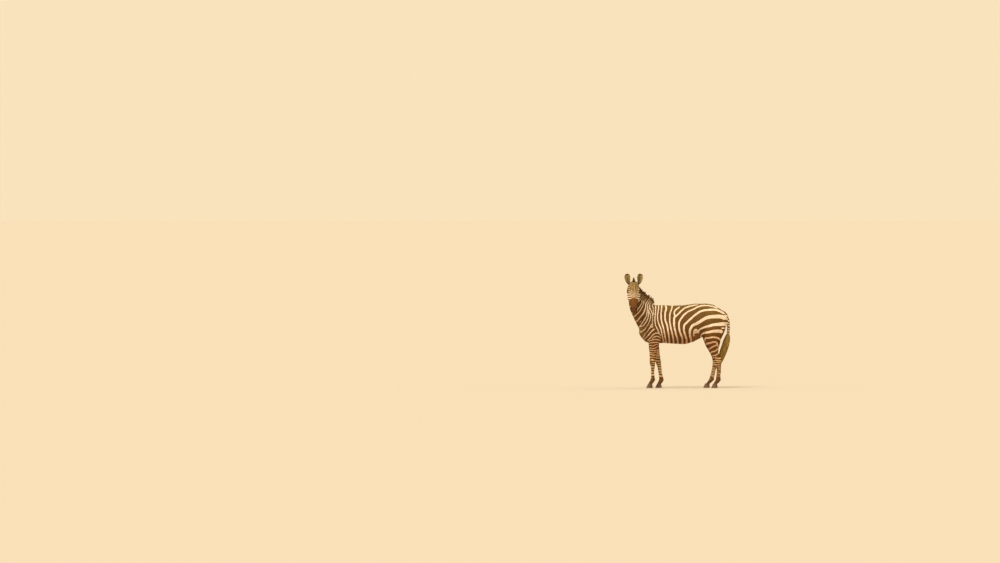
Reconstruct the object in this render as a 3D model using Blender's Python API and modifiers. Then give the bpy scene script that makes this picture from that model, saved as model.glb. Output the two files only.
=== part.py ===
"""Grant's zebra, adult: a still, life-size display model that stands on its four hooves.

The zebra faces -Y, its left side is +X and the ground is z = 0.  Its head is turned to the left.
The flesh is lofted from named sections, remeshed to one skin, raised and sunk where muscles and
hollows lie, and then parted into the pieces a person would name.  Hooves, eyes, ears, mane,
forelock, tail and tail tuft are solids of their own.
"""
import math

import bmesh
import bpy
import numpy as np
from mathutils import Matrix, Vector

# ---- driving dimensions, metres -------------------------------------------------------------
GAP = 0.0003                  # air left between neighbouring pieces
RING_POINTS = 40              # points round each section of the flesh
HAIR_POINTS = 10              # points round each section of mane and tail
HOOF_POINTS = 24              # points round a hoof
LOFT_STEP = 0.015             # distance between sections of the trunk
FINE_STEP = 0.010             # distance between sections of the head and the legs
VOXEL = 0.0060                # grain of the joined skin
SOFTEN_ROUNDS = 14            # smoothing of the joined skin
SOFTEN_STRENGTH = 1.4
SKIN_TRIANGLES = 4250         # facets kept on the joined skin
FACET_BIAS = 1.0              # how far the facets follow the weights below
HEAD_COARSENESS = 0.60        # weights: low where facets stay small
LEG_COARSENESS = 0.75
LEG_TOP = 0.5                 # height under which the legs' weight holds
SLIVER = 0.00003              # edges shorter than this are dissolved
SMALLEST_PIECE = 12           # points; a cut leaves crumbs smaller than this
CREASE_ANGLE = math.radians(50)                # sharper edges than this stay sharp

HEAD_ORIGIN = Vector((0.300, -0.803, 1.666))   # the poll, between the ears
HEAD_PITCH = math.radians(38)                  # forehead line, from the vertical
HEAD_LENGTH = 0.545
EYE_RADIUS = 0.0195
EYE_PLACE = (0.168, 0.0815, -0.034)            # along, aside, above, in the head's own axes
EAR_ROOT = (0.283, 0.074, 1.622)               # x, distance aside of the head, z
EAR_TIP = (0.298, 0.108, 1.776)
EAR_WIDTH = 0.088
EAR_SKIN = 0.0045
EAR_COLUMNS = 9               # points across the ear's leaf
EAR_ROWS = (0.0, 0.12, 0.26, 0.42, 0.58, 0.72, 0.84, 0.93, 1.0)    # shares of its length
EAR_SPLAY = 0.25              # how far the opening turns outwards

MANE_START = 6                # steps of the neck's curve that stay bare over the withers
MANE_HEIGHT = 0.086
MANE_THICKNESS = 0.040
MANE_DEPTH = 0.030            # how far its foot reaches into the neck
MANE_POINTEDNESS = 1.5        # roundness of its upper half
MANE_TUFTING = 0.005          # rise and fall of its top edge
MANE_TUFTS = 17
FORELOCK_HEIGHT = 0.094
FORELOCK_CUT = (0.283, -0.803, 1.72)

HOOF_TOE_HEIGHT = 0.062
HOOF_HEEL_HEIGHT = 0.036
HOOF_ROUNDNESS = 2.4
HOOF_LEVELS = (0.0, 0.5, 1.0)                  # shares of the height of its wall
CORONET_WIDTH = 0.80          # shares of the hoof's width and length
CORONET_START = 0.27
CORONET_LENGTH = 0.76

COAT_CREAM = (0.80, 0.66, 0.46)
COAT_BROWN = (0.13, 0.075, 0.035)
MUZZLE_BROWN = (0.20, 0.10, 0.045)
HOOF_GREY = (0.11, 0.085, 0.065)
EYE_DARK = (0.015, 0.010, 0.008)

# ---- sections -------------------------------------------------------------------------------
# Trunk, nose to tail: y, underside, back, half width, level of the widest point, roundness
# below and above that level (2 is an ellipse, more is squarer, less is more pointed).
TRUNK = (
    (-0.706, 0.838, 0.920, 0.040, 0.880, 2.0, 2.0),
    (-0.690, 0.802, 0.960, 0.074, 0.884, 2.0, 2.0),
    (-0.655, 0.752, 1.030, 0.106, 0.890, 2.0, 1.9),
    (-0.600, 0.712, 1.140, 0.139, 0.908, 2.0, 1.8),
    (-0.520, 0.693, 1.250, 0.165, 0.920, 2.0, 1.7),
    (-0.440, 0.695, 1.296, 0.178, 0.930, 2.0, 1.7),
    (-0.340, 0.697, 1.291, 0.190, 0.930, 2.0, 1.8),
    (-0.200, 0.689, 1.283, 0.216, 0.930, 2.0, 2.0),
    (-0.030, 0.680, 1.291, 0.238, 0.935, 2.1, 2.0),
    (0.110, 0.711, 1.309, 0.237, 0.960, 2.1, 2.0),
    (0.210, 0.760, 1.316, 0.222, 1.000, 2.1, 2.0),
    (0.310, 0.800, 1.318, 0.208, 1.040, 2.0, 2.0),
    (0.420, 0.820, 1.304, 0.202, 1.050, 2.0, 2.0),
    (0.520, 0.865, 1.252, 0.186, 1.040, 2.0, 2.0),
    (0.600, 0.930, 1.185, 0.146, 1.040, 2.0, 2.0),
    (0.648, 0.985, 1.090, 0.070, 1.035, 2.0, 2.0),
)

# Neck, shoulders to poll: crest point, throat point, half width.
NECK = (
    ((0.000, -0.360, 1.270), (0.000, -0.570, 0.800), 0.155),
    ((0.000, -0.490, 1.303), (0.000, -0.700, 0.900), 0.144),
    ((0.012, -0.580, 1.358), (0.018, -0.766, 1.020), 0.124),
    ((0.040, -0.664, 1.425), (0.044, -0.822, 1.145), 0.108),
    ((0.090, -0.742, 1.502), (0.074, -0.860, 1.268), 0.099),
    ((0.168, -0.790, 1.578), (0.112, -0.864, 1.385), 0.090),
    ((0.258, -0.804, 1.636), (0.190, -0.834, 1.490), 0.078),
)

NECK_WIDEST = -0.12           # level of the widest point, a share of the half height
NECK_ROUNDNESS = (2.1, 1.75)  # below and above it

# Head, poll to lips, in the head's own axes: distance along, underside, forehead line,
# half width, level of the widest point, roundness below and above.
HEAD = (
    (-0.035, -0.150, -0.040, 0.042, -0.090, 2.0, 2.0),
    (0.000, -0.190, -0.004, 0.074, -0.080, 2.0, 2.1),
    (0.050, -0.218, 0.010, 0.086, -0.080, 2.2, 2.2),
    (0.100, -0.230, 0.016, 0.090, -0.085, 2.3, 2.3),
    (0.150, -0.231, 0.015, 0.094, -0.085, 2.4, 2.4),
    (0.200, -0.220, 0.010, 0.096, -0.110, 2.4, 2.1),
    (0.260, -0.198, 0.002, 0.090, -0.120, 2.4, 1.9),
    (0.320, -0.170, -0.004, 0.072, -0.105, 2.3, 1.9),
    (0.380, -0.143, -0.009, 0.058, -0.080, 2.2, 2.1),
    (0.440, -0.127, -0.013, 0.053, -0.068, 2.2, 2.3),
    (0.490, -0.124, -0.021, 0.051, -0.068, 2.2, 2.3),
    (0.524, -0.120, -0.040, 0.045, -0.080, 2.2, 2.2),
    (HEAD_LENGTH, -0.106, -0.066, 0.026, -0.088, 2.0, 2.0),
)

# Legs, downwards: height, front, back, x of the middle, half width, roundness.
FORE_LEFT = (
    (0.920, -0.560, -0.430, 0.090, 0.030, 2.0),
    (0.840, -0.590, -0.400, 0.112, 0.055, 2.0),
    (0.760, -0.588, -0.395, 0.125, 0.060, 2.0),
    (0.700, -0.574, -0.405, 0.125, 0.058, 2.0),
    (0.620, -0.567, -0.425, 0.115, 0.051, 2.0),
    (0.537, -0.558, -0.440, 0.106, 0.044, 2.1),
    (0.465, -0.553, -0.456, 0.100, 0.038, 2.2),
    (0.425, -0.554, -0.462, 0.097, 0.040, 2.4),
    (0.390, -0.552, -0.464, 0.096, 0.039, 2.4),
    (0.345, -0.540, -0.470, 0.094, 0.031, 2.2),
    (0.295, -0.532, -0.474, 0.092, 0.026, 2.1),
    (0.215, -0.529, -0.475, 0.090, 0.025, 2.1),
    (0.165, -0.533, -0.472, 0.089, 0.030, 2.1),
    (0.140, -0.538, -0.466, 0.089, 0.033, 2.0),
    (0.112, -0.550, -0.474, 0.088, 0.030, 2.1),
    (0.080, -0.569, -0.494, 0.088, 0.029, 2.1),
    (0.050, -0.577, -0.512, 0.088, 0.030, 2.1),
    (0.030, -0.577, -0.520, 0.088, 0.028, 2.1),
)
FORE_RIGHT = (
    (0.920, -0.540, -0.410, -0.090, 0.030, 2.0),
    (0.840, -0.570, -0.390, -0.112, 0.055, 2.0),
    (0.760, -0.570, -0.390, -0.125, 0.060, 2.0),
    (0.700, -0.552, -0.396, -0.125, 0.058, 2.0),
    (0.620, -0.532, -0.396, -0.115, 0.051, 2.0),
    (0.537, -0.505, -0.388, -0.106, 0.044, 2.1),
    (0.465, -0.478, -0.382, -0.100, 0.038, 2.2),
    (0.425, -0.466, -0.374, -0.097, 0.040, 2.4),
    (0.390, -0.456, -0.368, -0.096, 0.039, 2.4),
    (0.345, -0.436, -0.366, -0.094, 0.031, 2.2),
    (0.295, -0.423, -0.361, -0.092, 0.026, 2.1),
    (0.215, -0.411, -0.351, -0.090, 0.025, 2.1),
    (0.165, -0.407, -0.339, -0.089, 0.030, 2.1),
    (0.140, -0.405, -0.330, -0.089, 0.033, 2.0),
    (0.112, -0.410, -0.332, -0.088, 0.030, 2.1),
    (0.080, -0.426, -0.352, -0.088, 0.029, 2.1),
    (0.050, -0.434, -0.370, -0.088, 0.030, 2.1),
    (0.030, -0.434, -0.378, -0.088, 0.028, 2.1),
)
HIND_LEFT = (
    (1.150, 0.400, 0.540, 0.090, 0.040, 2.0),
    (1.040, 0.320, 0.612, 0.105, 0.080, 2.0),
    (0.940, 0.290, 0.630, 0.118, 0.090, 2.0),
    (0.850, 0.283, 0.602, 0.126, 0.088, 2.0),
    (0.760, 0.298, 0.562, 0.130, 0.078, 2.0),
    (0.690, 0.320, 0.541, 0.128, 0.067, 1.9),
    (0.620, 0.356, 0.525, 0.122, 0.055, 1.9),
    (0.560, 0.396, 0.521, 0.116, 0.044, 1.9),
    (0.500, 0.432, 0.538, 0.110, 0.036, 1.9),
    (0.450, 0.455, 0.568, 0.107, 0.036, 2.1),
    (0.420, 0.462, 0.570, 0.106, 0.038, 2.3),
    (0.385, 0.468, 0.565, 0.106, 0.034, 2.3),
    (0.335, 0.482, 0.562, 0.106, 0.030, 2.2),
    (0.268, 0.487, 0.560, 0.106, 0.027, 2.1),
    (0.205, 0.482, 0.555, 0.106, 0.027, 2.1),
    (0.160, 0.479, 0.556, 0.106, 0.030, 2.1),
    (0.135, 0.474, 0.557, 0.106, 0.032, 2.0),
    (0.105, 0.460, 0.542, 0.106, 0.029, 2.1),
    (0.078, 0.444, 0.518, 0.106, 0.027, 2.1),
    (0.050, 0.435, 0.498, 0.106, 0.028, 2.1),
    (0.030, 0.435, 0.492, 0.106, 0.026, 2.1),
)
HIND_RIGHT = (
    (1.150, 0.400, 0.540, -0.090, 0.040, 2.0),
    (1.040, 0.320, 0.612, -0.105, 0.080, 2.0),
    (0.940, 0.285, 0.626, -0.118, 0.090, 2.0),
    (0.850, 0.276, 0.594, -0.126, 0.088, 2.0),
    (0.760, 0.284, 0.548, -0.130, 0.078, 2.0),
    (0.690, 0.306, 0.526, -0.128, 0.067, 1.9),
    (0.620, 0.342, 0.508, -0.122, 0.055, 1.9),
    (0.560, 0.378, 0.502, -0.116, 0.044, 1.9),
    (0.500, 0.410, 0.514, -0.110, 0.036, 1.9),
    (0.450, 0.423, 0.528, -0.107, 0.036, 2.1),
    (0.420, 0.429, 0.525, -0.106, 0.038, 2.3),
    (0.385, 0.429, 0.513, -0.106, 0.034, 2.3),
    (0.335, 0.423, 0.495, -0.106, 0.030, 2.2),
    (0.268, 0.412, 0.480, -0.106, 0.027, 2.1),
    (0.205, 0.398, 0.466, -0.106, 0.027, 2.1),
    (0.160, 0.384, 0.456, -0.106, 0.030, 2.1),
    (0.135, 0.374, 0.453, -0.106, 0.032, 2.0),
    (0.105, 0.355, 0.434, -0.106, 0.029, 2.1),
    (0.078, 0.335, 0.406, -0.106, 0.027, 2.1),
    (0.050, 0.321, 0.384, -0.106, 0.028, 2.1),
    (0.030, 0.315, 0.372, -0.106, 0.026, 2.1),
)

# Tail, root to tip: y, z, half depth, half width.
TAIL_DOCK = (
    (0.560, 1.185, 0.036, 0.036),
    (0.612, 1.155, 0.034, 0.034),
    (0.652, 1.095, 0.030, 0.030),
    (0.672, 1.020, 0.028, 0.027),
    (0.679, 0.930, 0.026, 0.024),
    (0.672, 0.850, 0.022, 0.020),
)
TAIL_TUFT = (
    (0.6715, 0.8460, 0.022, 0.019),
    (0.664, 0.800, 0.040, 0.027),
    (0.645, 0.720, 0.055, 0.034),
    (0.611, 0.610, 0.059, 0.036),
    (0.574, 0.500, 0.051, 0.031),
    (0.558, 0.425, 0.032, 0.021),
    (0.556, 0.380, 0.008, 0.006),
)

# Swellings and hollows of the body, one of each side pair: place, reach, height, tilt about X.
BODY_SWELLS = (
    ((0.165, -0.500, 1.060), (0.080, 0.075, 0.150), 0.016, -24),   # shoulder blade
    ((0.180, -0.420, 0.870), (0.070, 0.080, 0.090), 0.020, 20),    # triceps
    ((0.125, -0.640, 0.930), (0.060, 0.055, 0.070), 0.018, 0),     # point of the shoulder
    ((0.060, -0.690, 0.860), (0.045, 0.060, 0.065), 0.020, 0),     # breast
    ((0.190, -0.330, 0.790), (0.070, 0.050, 0.060), -0.010, 0),    # hollow behind the elbow
    ((0.190, 0.290, 1.190), (0.070, 0.060, 0.060), 0.010, 0),      # point of the hip
    ((0.215, 0.190, 1.110), (0.080, 0.070, 0.080), -0.014, 0),     # hollow of the flank
    ((0.210, 0.470, 0.990), (0.090, 0.095, 0.150), 0.020, 0),      # thigh
    ((0.190, 0.310, 0.860), (0.070, 0.055, 0.080), 0.018, -15),    # stifle
    ((0.070, 0.640, 1.020), (0.050, 0.050, 0.090), 0.018, 0),      # buttock
    ((0.080, 0.100, 1.300), (0.050, 0.200, 0.050), 0.006, 0),      # loin
)
# The same of the head, in the head's own axes: along, aside, above.
HEAD_SWELLS = (
    ((0.166, 0.094, -0.032), (0.044, 0.035, 0.030), 0.012, 0),     # rim of the eye socket
    ((0.150, 0.090, -0.155), (0.080, 0.060, 0.055), 0.007, 0),     # cheek
    ((0.275, 0.065, -0.076), (0.070, 0.030, 0.013), 0.006, 0),     # cheek ridge
    ((0.105, 0.078, -0.020), (0.030, 0.030, 0.022), -0.005, 0),    # hollow over the eye
    ((0.492, 0.046, -0.046), (0.030, 0.028, 0.024), 0.006, 0),     # nostril
    ((0.542, 0.018, -0.078), (0.020, 0.030, 0.020), 0.006, 0),     # upper lip
    ((0.500, 0.016, -0.128), (0.024, 0.026, 0.020), 0.009, 0),     # chin and lower lip
)
# Ear: share of the length, share of the full width, half the angle that the leaf wraps round.
EAR_SHAPE = (
    (0.00, 0.46, 150.0),
    (0.15, 0.56, 125.0),
    (0.45, 0.88, 84.0),
    (0.62, 1.00, 72.0),
    (0.82, 0.94, 60.0),
    (0.94, 0.66, 52.0),
    (1.00, 0.22, 45.0),
)
# Mane: share of the way from the withers to the forelock, height of the top edge.
MANE_EDGE = (
    (0.00, 0.070),
    (0.05, MANE_HEIGHT),
    (0.70, MANE_HEIGHT),
    (0.88, 0.046),
    (1.00, FORELOCK_HEIGHT),
)
# Where the mane runs on over the poll: offset from the poll, way that the hair rises.
MANE_OVER_POLL = (
    ((-0.014, 0.0, -0.010), (0.0, 0.0, 1.0)),
    ((0.018, 0.0, -0.012), (0.30, 0.0, 1.0)),
)
# Hooves: name, y of the toe, x of the middle, length and width on the ground.
HOOVES = (
    ("hoof_fore_left", -0.606, 0.088, 0.100, 0.084),
    ("hoof_fore_right", -0.463, -0.088, 0.100, 0.084),
    ("hoof_hind_left", 0.406, 0.106, 0.098, 0.077),
    ("hoof_hind_right", 0.286, -0.106, 0.098, 0.077),
)
# Thin cuts that part the skin: middle, normal, width and height of the cut.
BODY_CUTS = (
    ((0.000, -0.635, 1.135), (0.0, -0.754, 0.657), 0.56, 0.62),    # neck from shoulders
    ((0.189, -0.800, 1.500), (0.93, -0.30, -0.05), 0.40, 0.46),    # head from neck
    ((0.000, -0.330, 1.000), (0.0, 1.0, 0.0), 0.70, 0.78),         # shoulders from barrel
    ((0.000, 0.235, 1.030), (0.0, 1.0, 0.0), 0.70, 0.78),          # barrel from hindquarters
    ((0.000, -0.480, 0.655), (0.0, 0.0, 1.0), 0.50, 0.36),         # forearms from shoulders
    ((0.000, -0.460, 0.400), (0.0, 0.0, 1.0), 0.50, 0.36),         # knees
    ((0.000, 0.455, 0.760), (0.0, 0.0, 1.0), 0.60, 0.38),          # gaskins from thighs
    ((0.000, 0.470, 0.392), (0.0, 0.0, 1.0), 0.50, 0.30),          # hocks
)
MUZZLE_CUT = (0.350, 0.0, -0.070)              # in the head's own axes
MUZZLE_CUT_SIZE = 0.25
FORELOCK_CUT_SIZE = (0.2, 0.4)
# Where the middle of each piece of the parted skin lies.
PIECE_MIDDLES = {
    "neck": (0.05, -0.72, 1.30),
    "forequarters": (0.0, -0.47, 0.98),
    "barrel": (0.0, -0.05, 0.99),
    "hindquarters": (0.0, 0.43, 1.03),
    "foreleg_left_upper": (0.11, -0.50, 0.53),
    "foreleg_left_lower": (0.09, -0.51, 0.24),
    "foreleg_right_upper": (-0.11, -0.45, 0.53),
    "foreleg_right_lower": (-0.09, -0.38, 0.24),
    "hindleg_left_upper": (0.12, 0.46, 0.58),
    "hindleg_left_lower": (0.106, 0.51, 0.24),
    "hindleg_right_upper": (-0.12, 0.44, 0.58),
    "hindleg_right_lower": (-0.106, 0.42, 0.24),
}
HEAD_PIECE_MIDDLES = {"head": (0.16, 0.0, -0.10), "muzzle": (0.46, 0.0, -0.07)}
HAIR_PIECE_MIDDLES = {"mane": (0.08, -0.68, 1.50), "forelock": (0.31, -0.807, 1.71)}


# ---- helpers --------------------------------------------------------------------------------
def material(name, colour, roughness):
    """A plain coloured finish."""
    made = bpy.data.materials.new(name)
    made.use_nodes = True
    shader = made.node_tree.nodes["Principled BSDF"]
    shader.inputs["Base Color"].default_value = (*colour, 1.0)
    shader.inputs["Roughness"].default_value = roughness
    shader.inputs["Metallic"].default_value = 0.0
    return made


def collection(name):
    """A new collection in the scene."""
    made = bpy.data.collections.new(name)
    bpy.context.scene.collection.children.link(made)
    return made


def new_object(name, bm, where):
    """An object in `where` that holds the bmesh."""
    mesh = bpy.data.meshes.new(name)
    bm.to_mesh(mesh)
    bm.free()
    obj = bpy.data.objects.new(name, mesh)
    where.objects.link(obj)
    return obj


def spline(keys, values, at):
    """Smooth curve through the values at the rising keys, with no overshoot, read at `at`."""
    keys = np.asarray(keys, float)
    values = np.asarray(values, float)
    steps = np.diff(keys)
    slopes = np.diff(values, axis=0) / steps[:, None]
    tangents = np.zeros_like(values)
    tangents[0] = slopes[0]
    tangents[-1] = slopes[-1]
    for i in range(1, len(keys) - 1):
        same_way = slopes[i - 1] * slopes[i] > 0
        with np.errstate(divide="ignore", invalid="ignore"):
            harmonic = 2.0 / (1.0 / slopes[i - 1] + 1.0 / slopes[i])
        tangents[i] = np.where(same_way, harmonic, 0.0)
    cell = np.clip(np.searchsorted(keys, at, side="right") - 1, 0, len(keys) - 2)
    step = steps[cell][:, None]
    t = ((at - keys[cell]) / steps[cell])[:, None]
    return ((2 * t**3 - 3 * t**2 + 1) * values[cell]
            + (t**3 - 2 * t**2 + t) * step * tangents[cell]
            + (3 * t**2 - 2 * t**3) * values[cell + 1]
            + (t**3 - t**2) * step * tangents[cell + 1])


def resample(stations, step=LOFT_STEP):
    """The stations, whose first column rises or falls, read every `step` along it."""
    table = np.array(stations, float)
    keys = table[:, 0]
    sign = 1.0 if keys[-1] > keys[0] else -1.0
    count = max(2, int(round(abs(keys[-1] - keys[0]) / step)) + 1)
    at = np.linspace(keys[0], keys[-1], count)
    return at, spline(keys * sign, table[:, 1:], at * sign)


def superellipse(angle, power):
    """Cosine and sine of the angle, squared off for powers over 2."""
    c = math.cos(angle)
    s = math.sin(angle)
    grow = 2.0 / power
    return math.copysign(abs(c) ** grow, c), math.copysign(abs(s) ** grow, s)


def section(centre, side, up, low, high, half_width, widest, low_power, high_power,
            points=RING_POINTS):
    """Closed ring: levels from low to high along `up`, half_width to each side at `widest`."""
    ring = []
    for i in range(points):
        angle = 2 * math.pi * i / points
        power = high_power if math.sin(angle) >= 0 else low_power
        across, level = superellipse(angle, power)
        reach = high - widest if level >= 0 else widest - low
        ring.append(centre + side * (across * half_width) + up * (widest + level * reach))
    return ring


def loft(name, rings, where):
    """Closed solid through the rings, with a fan over each end."""
    bm = bmesh.new()
    rows = [[bm.verts.new(point) for point in ring] for ring in rings]
    count = len(rows[0])
    for upper, lower in zip(rows, rows[1:]):
        for i in range(count):
            j = (i + 1) % count
            bm.faces.new((upper[i], upper[j], lower[j], lower[i]))
    for row in (rows[0], rows[-1]):
        middle = bm.verts.new(sum((v.co for v in row), Vector()) / count)
        for i in range(count):
            bm.faces.new((row[i], row[(i + 1) % count], middle))
    bmesh.ops.recalc_face_normals(bm, faces=bm.faces)
    return new_object(name, bm, where)


def swell(obj, place, reach, height, tilt, axes):
    """Raise or sink the skin smoothly round a place; reach is along each of the axes."""
    turn = Matrix.Rotation(math.radians(tilt), 4, "X")
    frame = axes @ Matrix.Translation(place) @ turn @ Matrix.Diagonal((*reach, 1.0))
    to_frame = np.array(frame.inverted())
    count = len(obj.data.vertices)
    points = np.empty(count * 3)
    normals = np.empty(count * 3)
    obj.data.vertices.foreach_get("co", points)
    obj.data.vertex_normals.foreach_get("vector", normals)
    points = points.reshape(-1, 3)
    normals = normals.reshape(-1, 3)
    local = points @ to_frame[:3, :3].T + to_frame[:3, 3]
    weight = np.exp(-(local ** 2).sum(axis=1))
    points += normals * (height * weight)[:, None]
    obj.data.vertices.foreach_set("co", points.ravel())
    obj.data.update()


def head_axes():
    """The head's own axes: X along it to the lips, Y to its left, Z out of the forehead."""
    along = Vector((math.sin(HEAD_PITCH), 0.0, -math.cos(HEAD_PITCH)))
    above = Vector((math.cos(HEAD_PITCH), 0.0, math.sin(HEAD_PITCH)))
    aside = above.cross(along)
    turn = Matrix((along, aside, above)).transposed().to_4x4()
    return Matrix.Translation(HEAD_ORIGIN) @ turn


def apply_modifiers(obj):
    """Replace the object's mesh with its evaluated one."""
    bpy.context.view_layer.update()
    graph = bpy.context.evaluated_depsgraph_get()
    mesh = bpy.data.meshes.new_from_object(obj.evaluated_get(graph))
    obj.modifiers.clear()
    old = obj.data
    obj.data = mesh
    bpy.data.meshes.remove(old)
    return obj


def joined(name, pieces, where):
    """One object in world space made of all the pieces, which are removed."""
    bm = bmesh.new()
    bpy.context.view_layer.update()
    for piece in pieces:
        mesh = piece.data.copy()
        mesh.transform(piece.matrix_world)
        bm.from_mesh(mesh)
        bpy.data.meshes.remove(mesh)
        bpy.data.objects.remove(piece)
    return new_object(name, bm, where)


def inflated(name, source, distance, where):
    """A copy of a solid, pushed out along its normals: a cutter that leaves a gap round it."""
    bm = bmesh.new()
    bm.from_mesh(source.data)
    bm.transform(source.matrix_world)
    bm.normal_update()
    offsets = [v.normal * distance for v in bm.verts]
    for vertex, offset in zip(bm.verts, offsets):
        vertex.co += offset
    cutter = new_object(name, bm, where)
    cutter.hide_render = True
    cutter.display_type = "WIRE"
    return cutter


def subtract(obj, cutter):
    """Cut the cutter's shape out of the object."""
    boolean = obj.modifiers.new("cut", "BOOLEAN")
    boolean.operation = "DIFFERENCE"
    boolean.solver = "EXACT"
    boolean.object = cutter
    return apply_modifiers(obj)


def keep_largest(obj):
    """Drop every loose part of the object but the largest."""
    bm = bmesh.new()
    bm.from_mesh(obj.data)
    islands = loose_parts(bm)
    largest = max(islands, key=len)
    extra = [v for island in islands if island is not largest for v in island]
    bmesh.ops.delete(bm, geom=extra, context="VERTS")
    bm.to_mesh(obj.data)
    bm.free()
    return obj


def loose_parts(bm):
    """The bmesh's vertices, grouped into its separate bodies."""
    unseen = set(bm.verts)
    islands = []
    while unseen:
        start = min(unseen, key=lambda v: v.index)
        unseen.discard(start)
        island = [start]
        for vertex in island:
            for edge in vertex.link_edges:
                other = edge.other_vert(vertex)
                if other in unseen:
                    unseen.discard(other)
                    island.append(other)
        islands.append(island)
    return islands


def tidy(obj):
    """Weld the sliver vertices that a cut leaves and dissolve faces without area."""
    bm = bmesh.new()
    bm.from_mesh(obj.data)
    bmesh.ops.dissolve_degenerate(bm, dist=SLIVER, edges=bm.edges)
    bmesh.ops.triangulate(bm, faces=bm.faces)
    bm.to_mesh(obj.data)
    bm.free()


# ---- flesh ----------------------------------------------------------------------------------
def make_trunk(where):
    """Breast to buttocks, in upright sections."""
    at, rows = resample(TRUNK)
    rings = []
    for y, (low, high, half_width, widest, low_power, high_power) in zip(at, rows):
        rings.append(section(Vector((0, y, 0)), Vector((1, 0, 0)), Vector((0, 0, 1)),
                             low, high, half_width, widest, low_power, high_power))
    return loft("trunk_loft", rings, where)


def neck_curve(step=0.05):
    """Crest points, throat points and half widths, read smoothly along the neck."""
    table = []
    for crest, throat, half_width in NECK:
        table.append((*crest, *throat, half_width))
    keys = np.arange(len(NECK), dtype=float)
    at = np.arange(0, len(NECK) - 1 + step / 2, step)
    rows = spline(keys, table, at)
    return [(Vector(row[0:3]), Vector(row[3:6]), row[6]) for row in rows]


def make_neck(where):
    """Shoulders to poll, in sections across a neck that bends to the left."""
    curve = neck_curve(0.1)
    middles = [(crest + throat) / 2 for crest, throat, _ in curve]
    rings = []
    for i, (crest, throat, half_width) in enumerate(curve):
        ahead = middles[min(i + 1, len(middles) - 1)]
        behind = middles[max(i - 1, 0)]
        up = (crest - throat).normalized()
        side = (ahead - behind).cross(up).normalized()
        half_height = (crest - throat).length / 2
        rings.append(section(middles[i], side, up, -half_height, half_height,
                             half_width, NECK_WIDEST * half_height, *NECK_ROUNDNESS))
    return loft("neck_loft", rings, where)


def make_head(where):
    """Poll to lips, in sections across the head's own axes."""
    axes = head_axes()
    turn = axes.to_3x3()
    at, rows = resample(HEAD, FINE_STEP)
    rings = []
    for along, (low, high, half_width, widest, low_power, high_power) in zip(at, rows):
        rings.append(section(axes @ Vector((along, 0, 0)), turn.col[1], turn.col[2],
                             low, high, half_width, widest, low_power, high_power))
    return loft("head_loft", rings, where)


def make_leg(name, stations, where):
    """A leg, in level sections."""
    at, rows = resample(stations, FINE_STEP)
    rings = []
    for z, (front, back, x, half_width, power) in zip(at, rows):
        middle = (front + back) / 2
        rings.append(section(Vector((x, 0, z)), Vector((1, 0, 0)), Vector((0, 1, 0)),
                             front, back, half_width, middle, power, power))
    return loft(name, rings, where)


def make_flesh(where):
    """Trunk, neck, head and legs as one smooth closed skin, in facets that are finest on the head."""
    pieces = [make_trunk(where), make_neck(where), make_head(where)]
    for stations in (FORE_LEFT, FORE_RIGHT, HIND_LEFT, HIND_RIGHT):
        pieces.append(make_leg("leg", stations, where))
    flesh = joined("flesh", pieces, where)
    remesh = flesh.modifiers.new("skin", "REMESH")
    remesh.mode = "VOXEL"
    remesh.voxel_size = VOXEL
    smooth = flesh.modifiers.new("soften", "LAPLACIANSMOOTH")
    smooth.iterations = SOFTEN_ROUNDS
    smooth.lambda_factor = SOFTEN_STRENGTH
    smooth.use_volume_preserve = True
    apply_modifiers(flesh)
    for side in (1, -1):
        for place, reach, height, tilt in BODY_SWELLS:
            swell(flesh, (place[0] * side, *place[1:]), reach, height, tilt, Matrix())
        for place, reach, height, tilt in HEAD_SWELLS:
            swell(flesh, (place[0], place[1] * side, place[2]), reach, height, tilt, head_axes())
    weigh_for_facets(flesh)
    decimate = flesh.modifiers.new("facet", "DECIMATE")
    decimate.ratio = SKIN_TRIANGLES / (2 * len(flesh.data.polygons))
    decimate.vertex_group = "coarse"
    decimate.vertex_group_factor = FACET_BIAS
    apply_modifiers(flesh)
    flesh.vertex_groups.clear()
    return keep_largest(flesh)


def weigh_for_facets(flesh):
    """A vertex group that is low on the head and the lower legs, where facets stay small."""
    group = flesh.vertex_groups.new(name="coarse")
    to_head = head_axes().inverted()
    for vertex in flesh.data.vertices:
        in_head = to_head @ vertex.co
        on_head = in_head.x > -0.02 and abs(in_head.y) < 0.11 and in_head.z > -0.25
        weight = HEAD_COARSENESS if on_head else (LEG_COARSENESS if vertex.co.z < LEG_TOP else 1.0)
        group.add([vertex.index], weight, "REPLACE")


# ---- pieces of their own --------------------------------------------------------------------
def path_rings(points, depths, widths):
    """Level-sided rings across a path that bends in the plane of symmetry."""
    side = Vector((1, 0, 0))
    rings = []
    for i, point in enumerate(points):
        ahead = points[min(i + 1, len(points) - 1)]
        behind = points[max(i - 1, 0)]
        up = (ahead - behind).cross(side).normalized()
        rings.append(section(point, side, up, -depths[i], depths[i], widths[i], 0.0, 2.0, 2.0,
                             HAIR_POINTS))
    return rings


def make_tail_piece(name, stations, where):
    """A length of the tail, hanging behind the buttocks."""
    keys = np.arange(len(stations), dtype=float)
    at = np.linspace(0, len(stations) - 1, 3 * len(stations) - 5)
    rows = spline(keys, stations, at)
    points = [Vector((0.0, row[0], row[1])) for row in rows]
    return loft(name, path_rings(points, rows[:, 2], rows[:, 3]), where)


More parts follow.
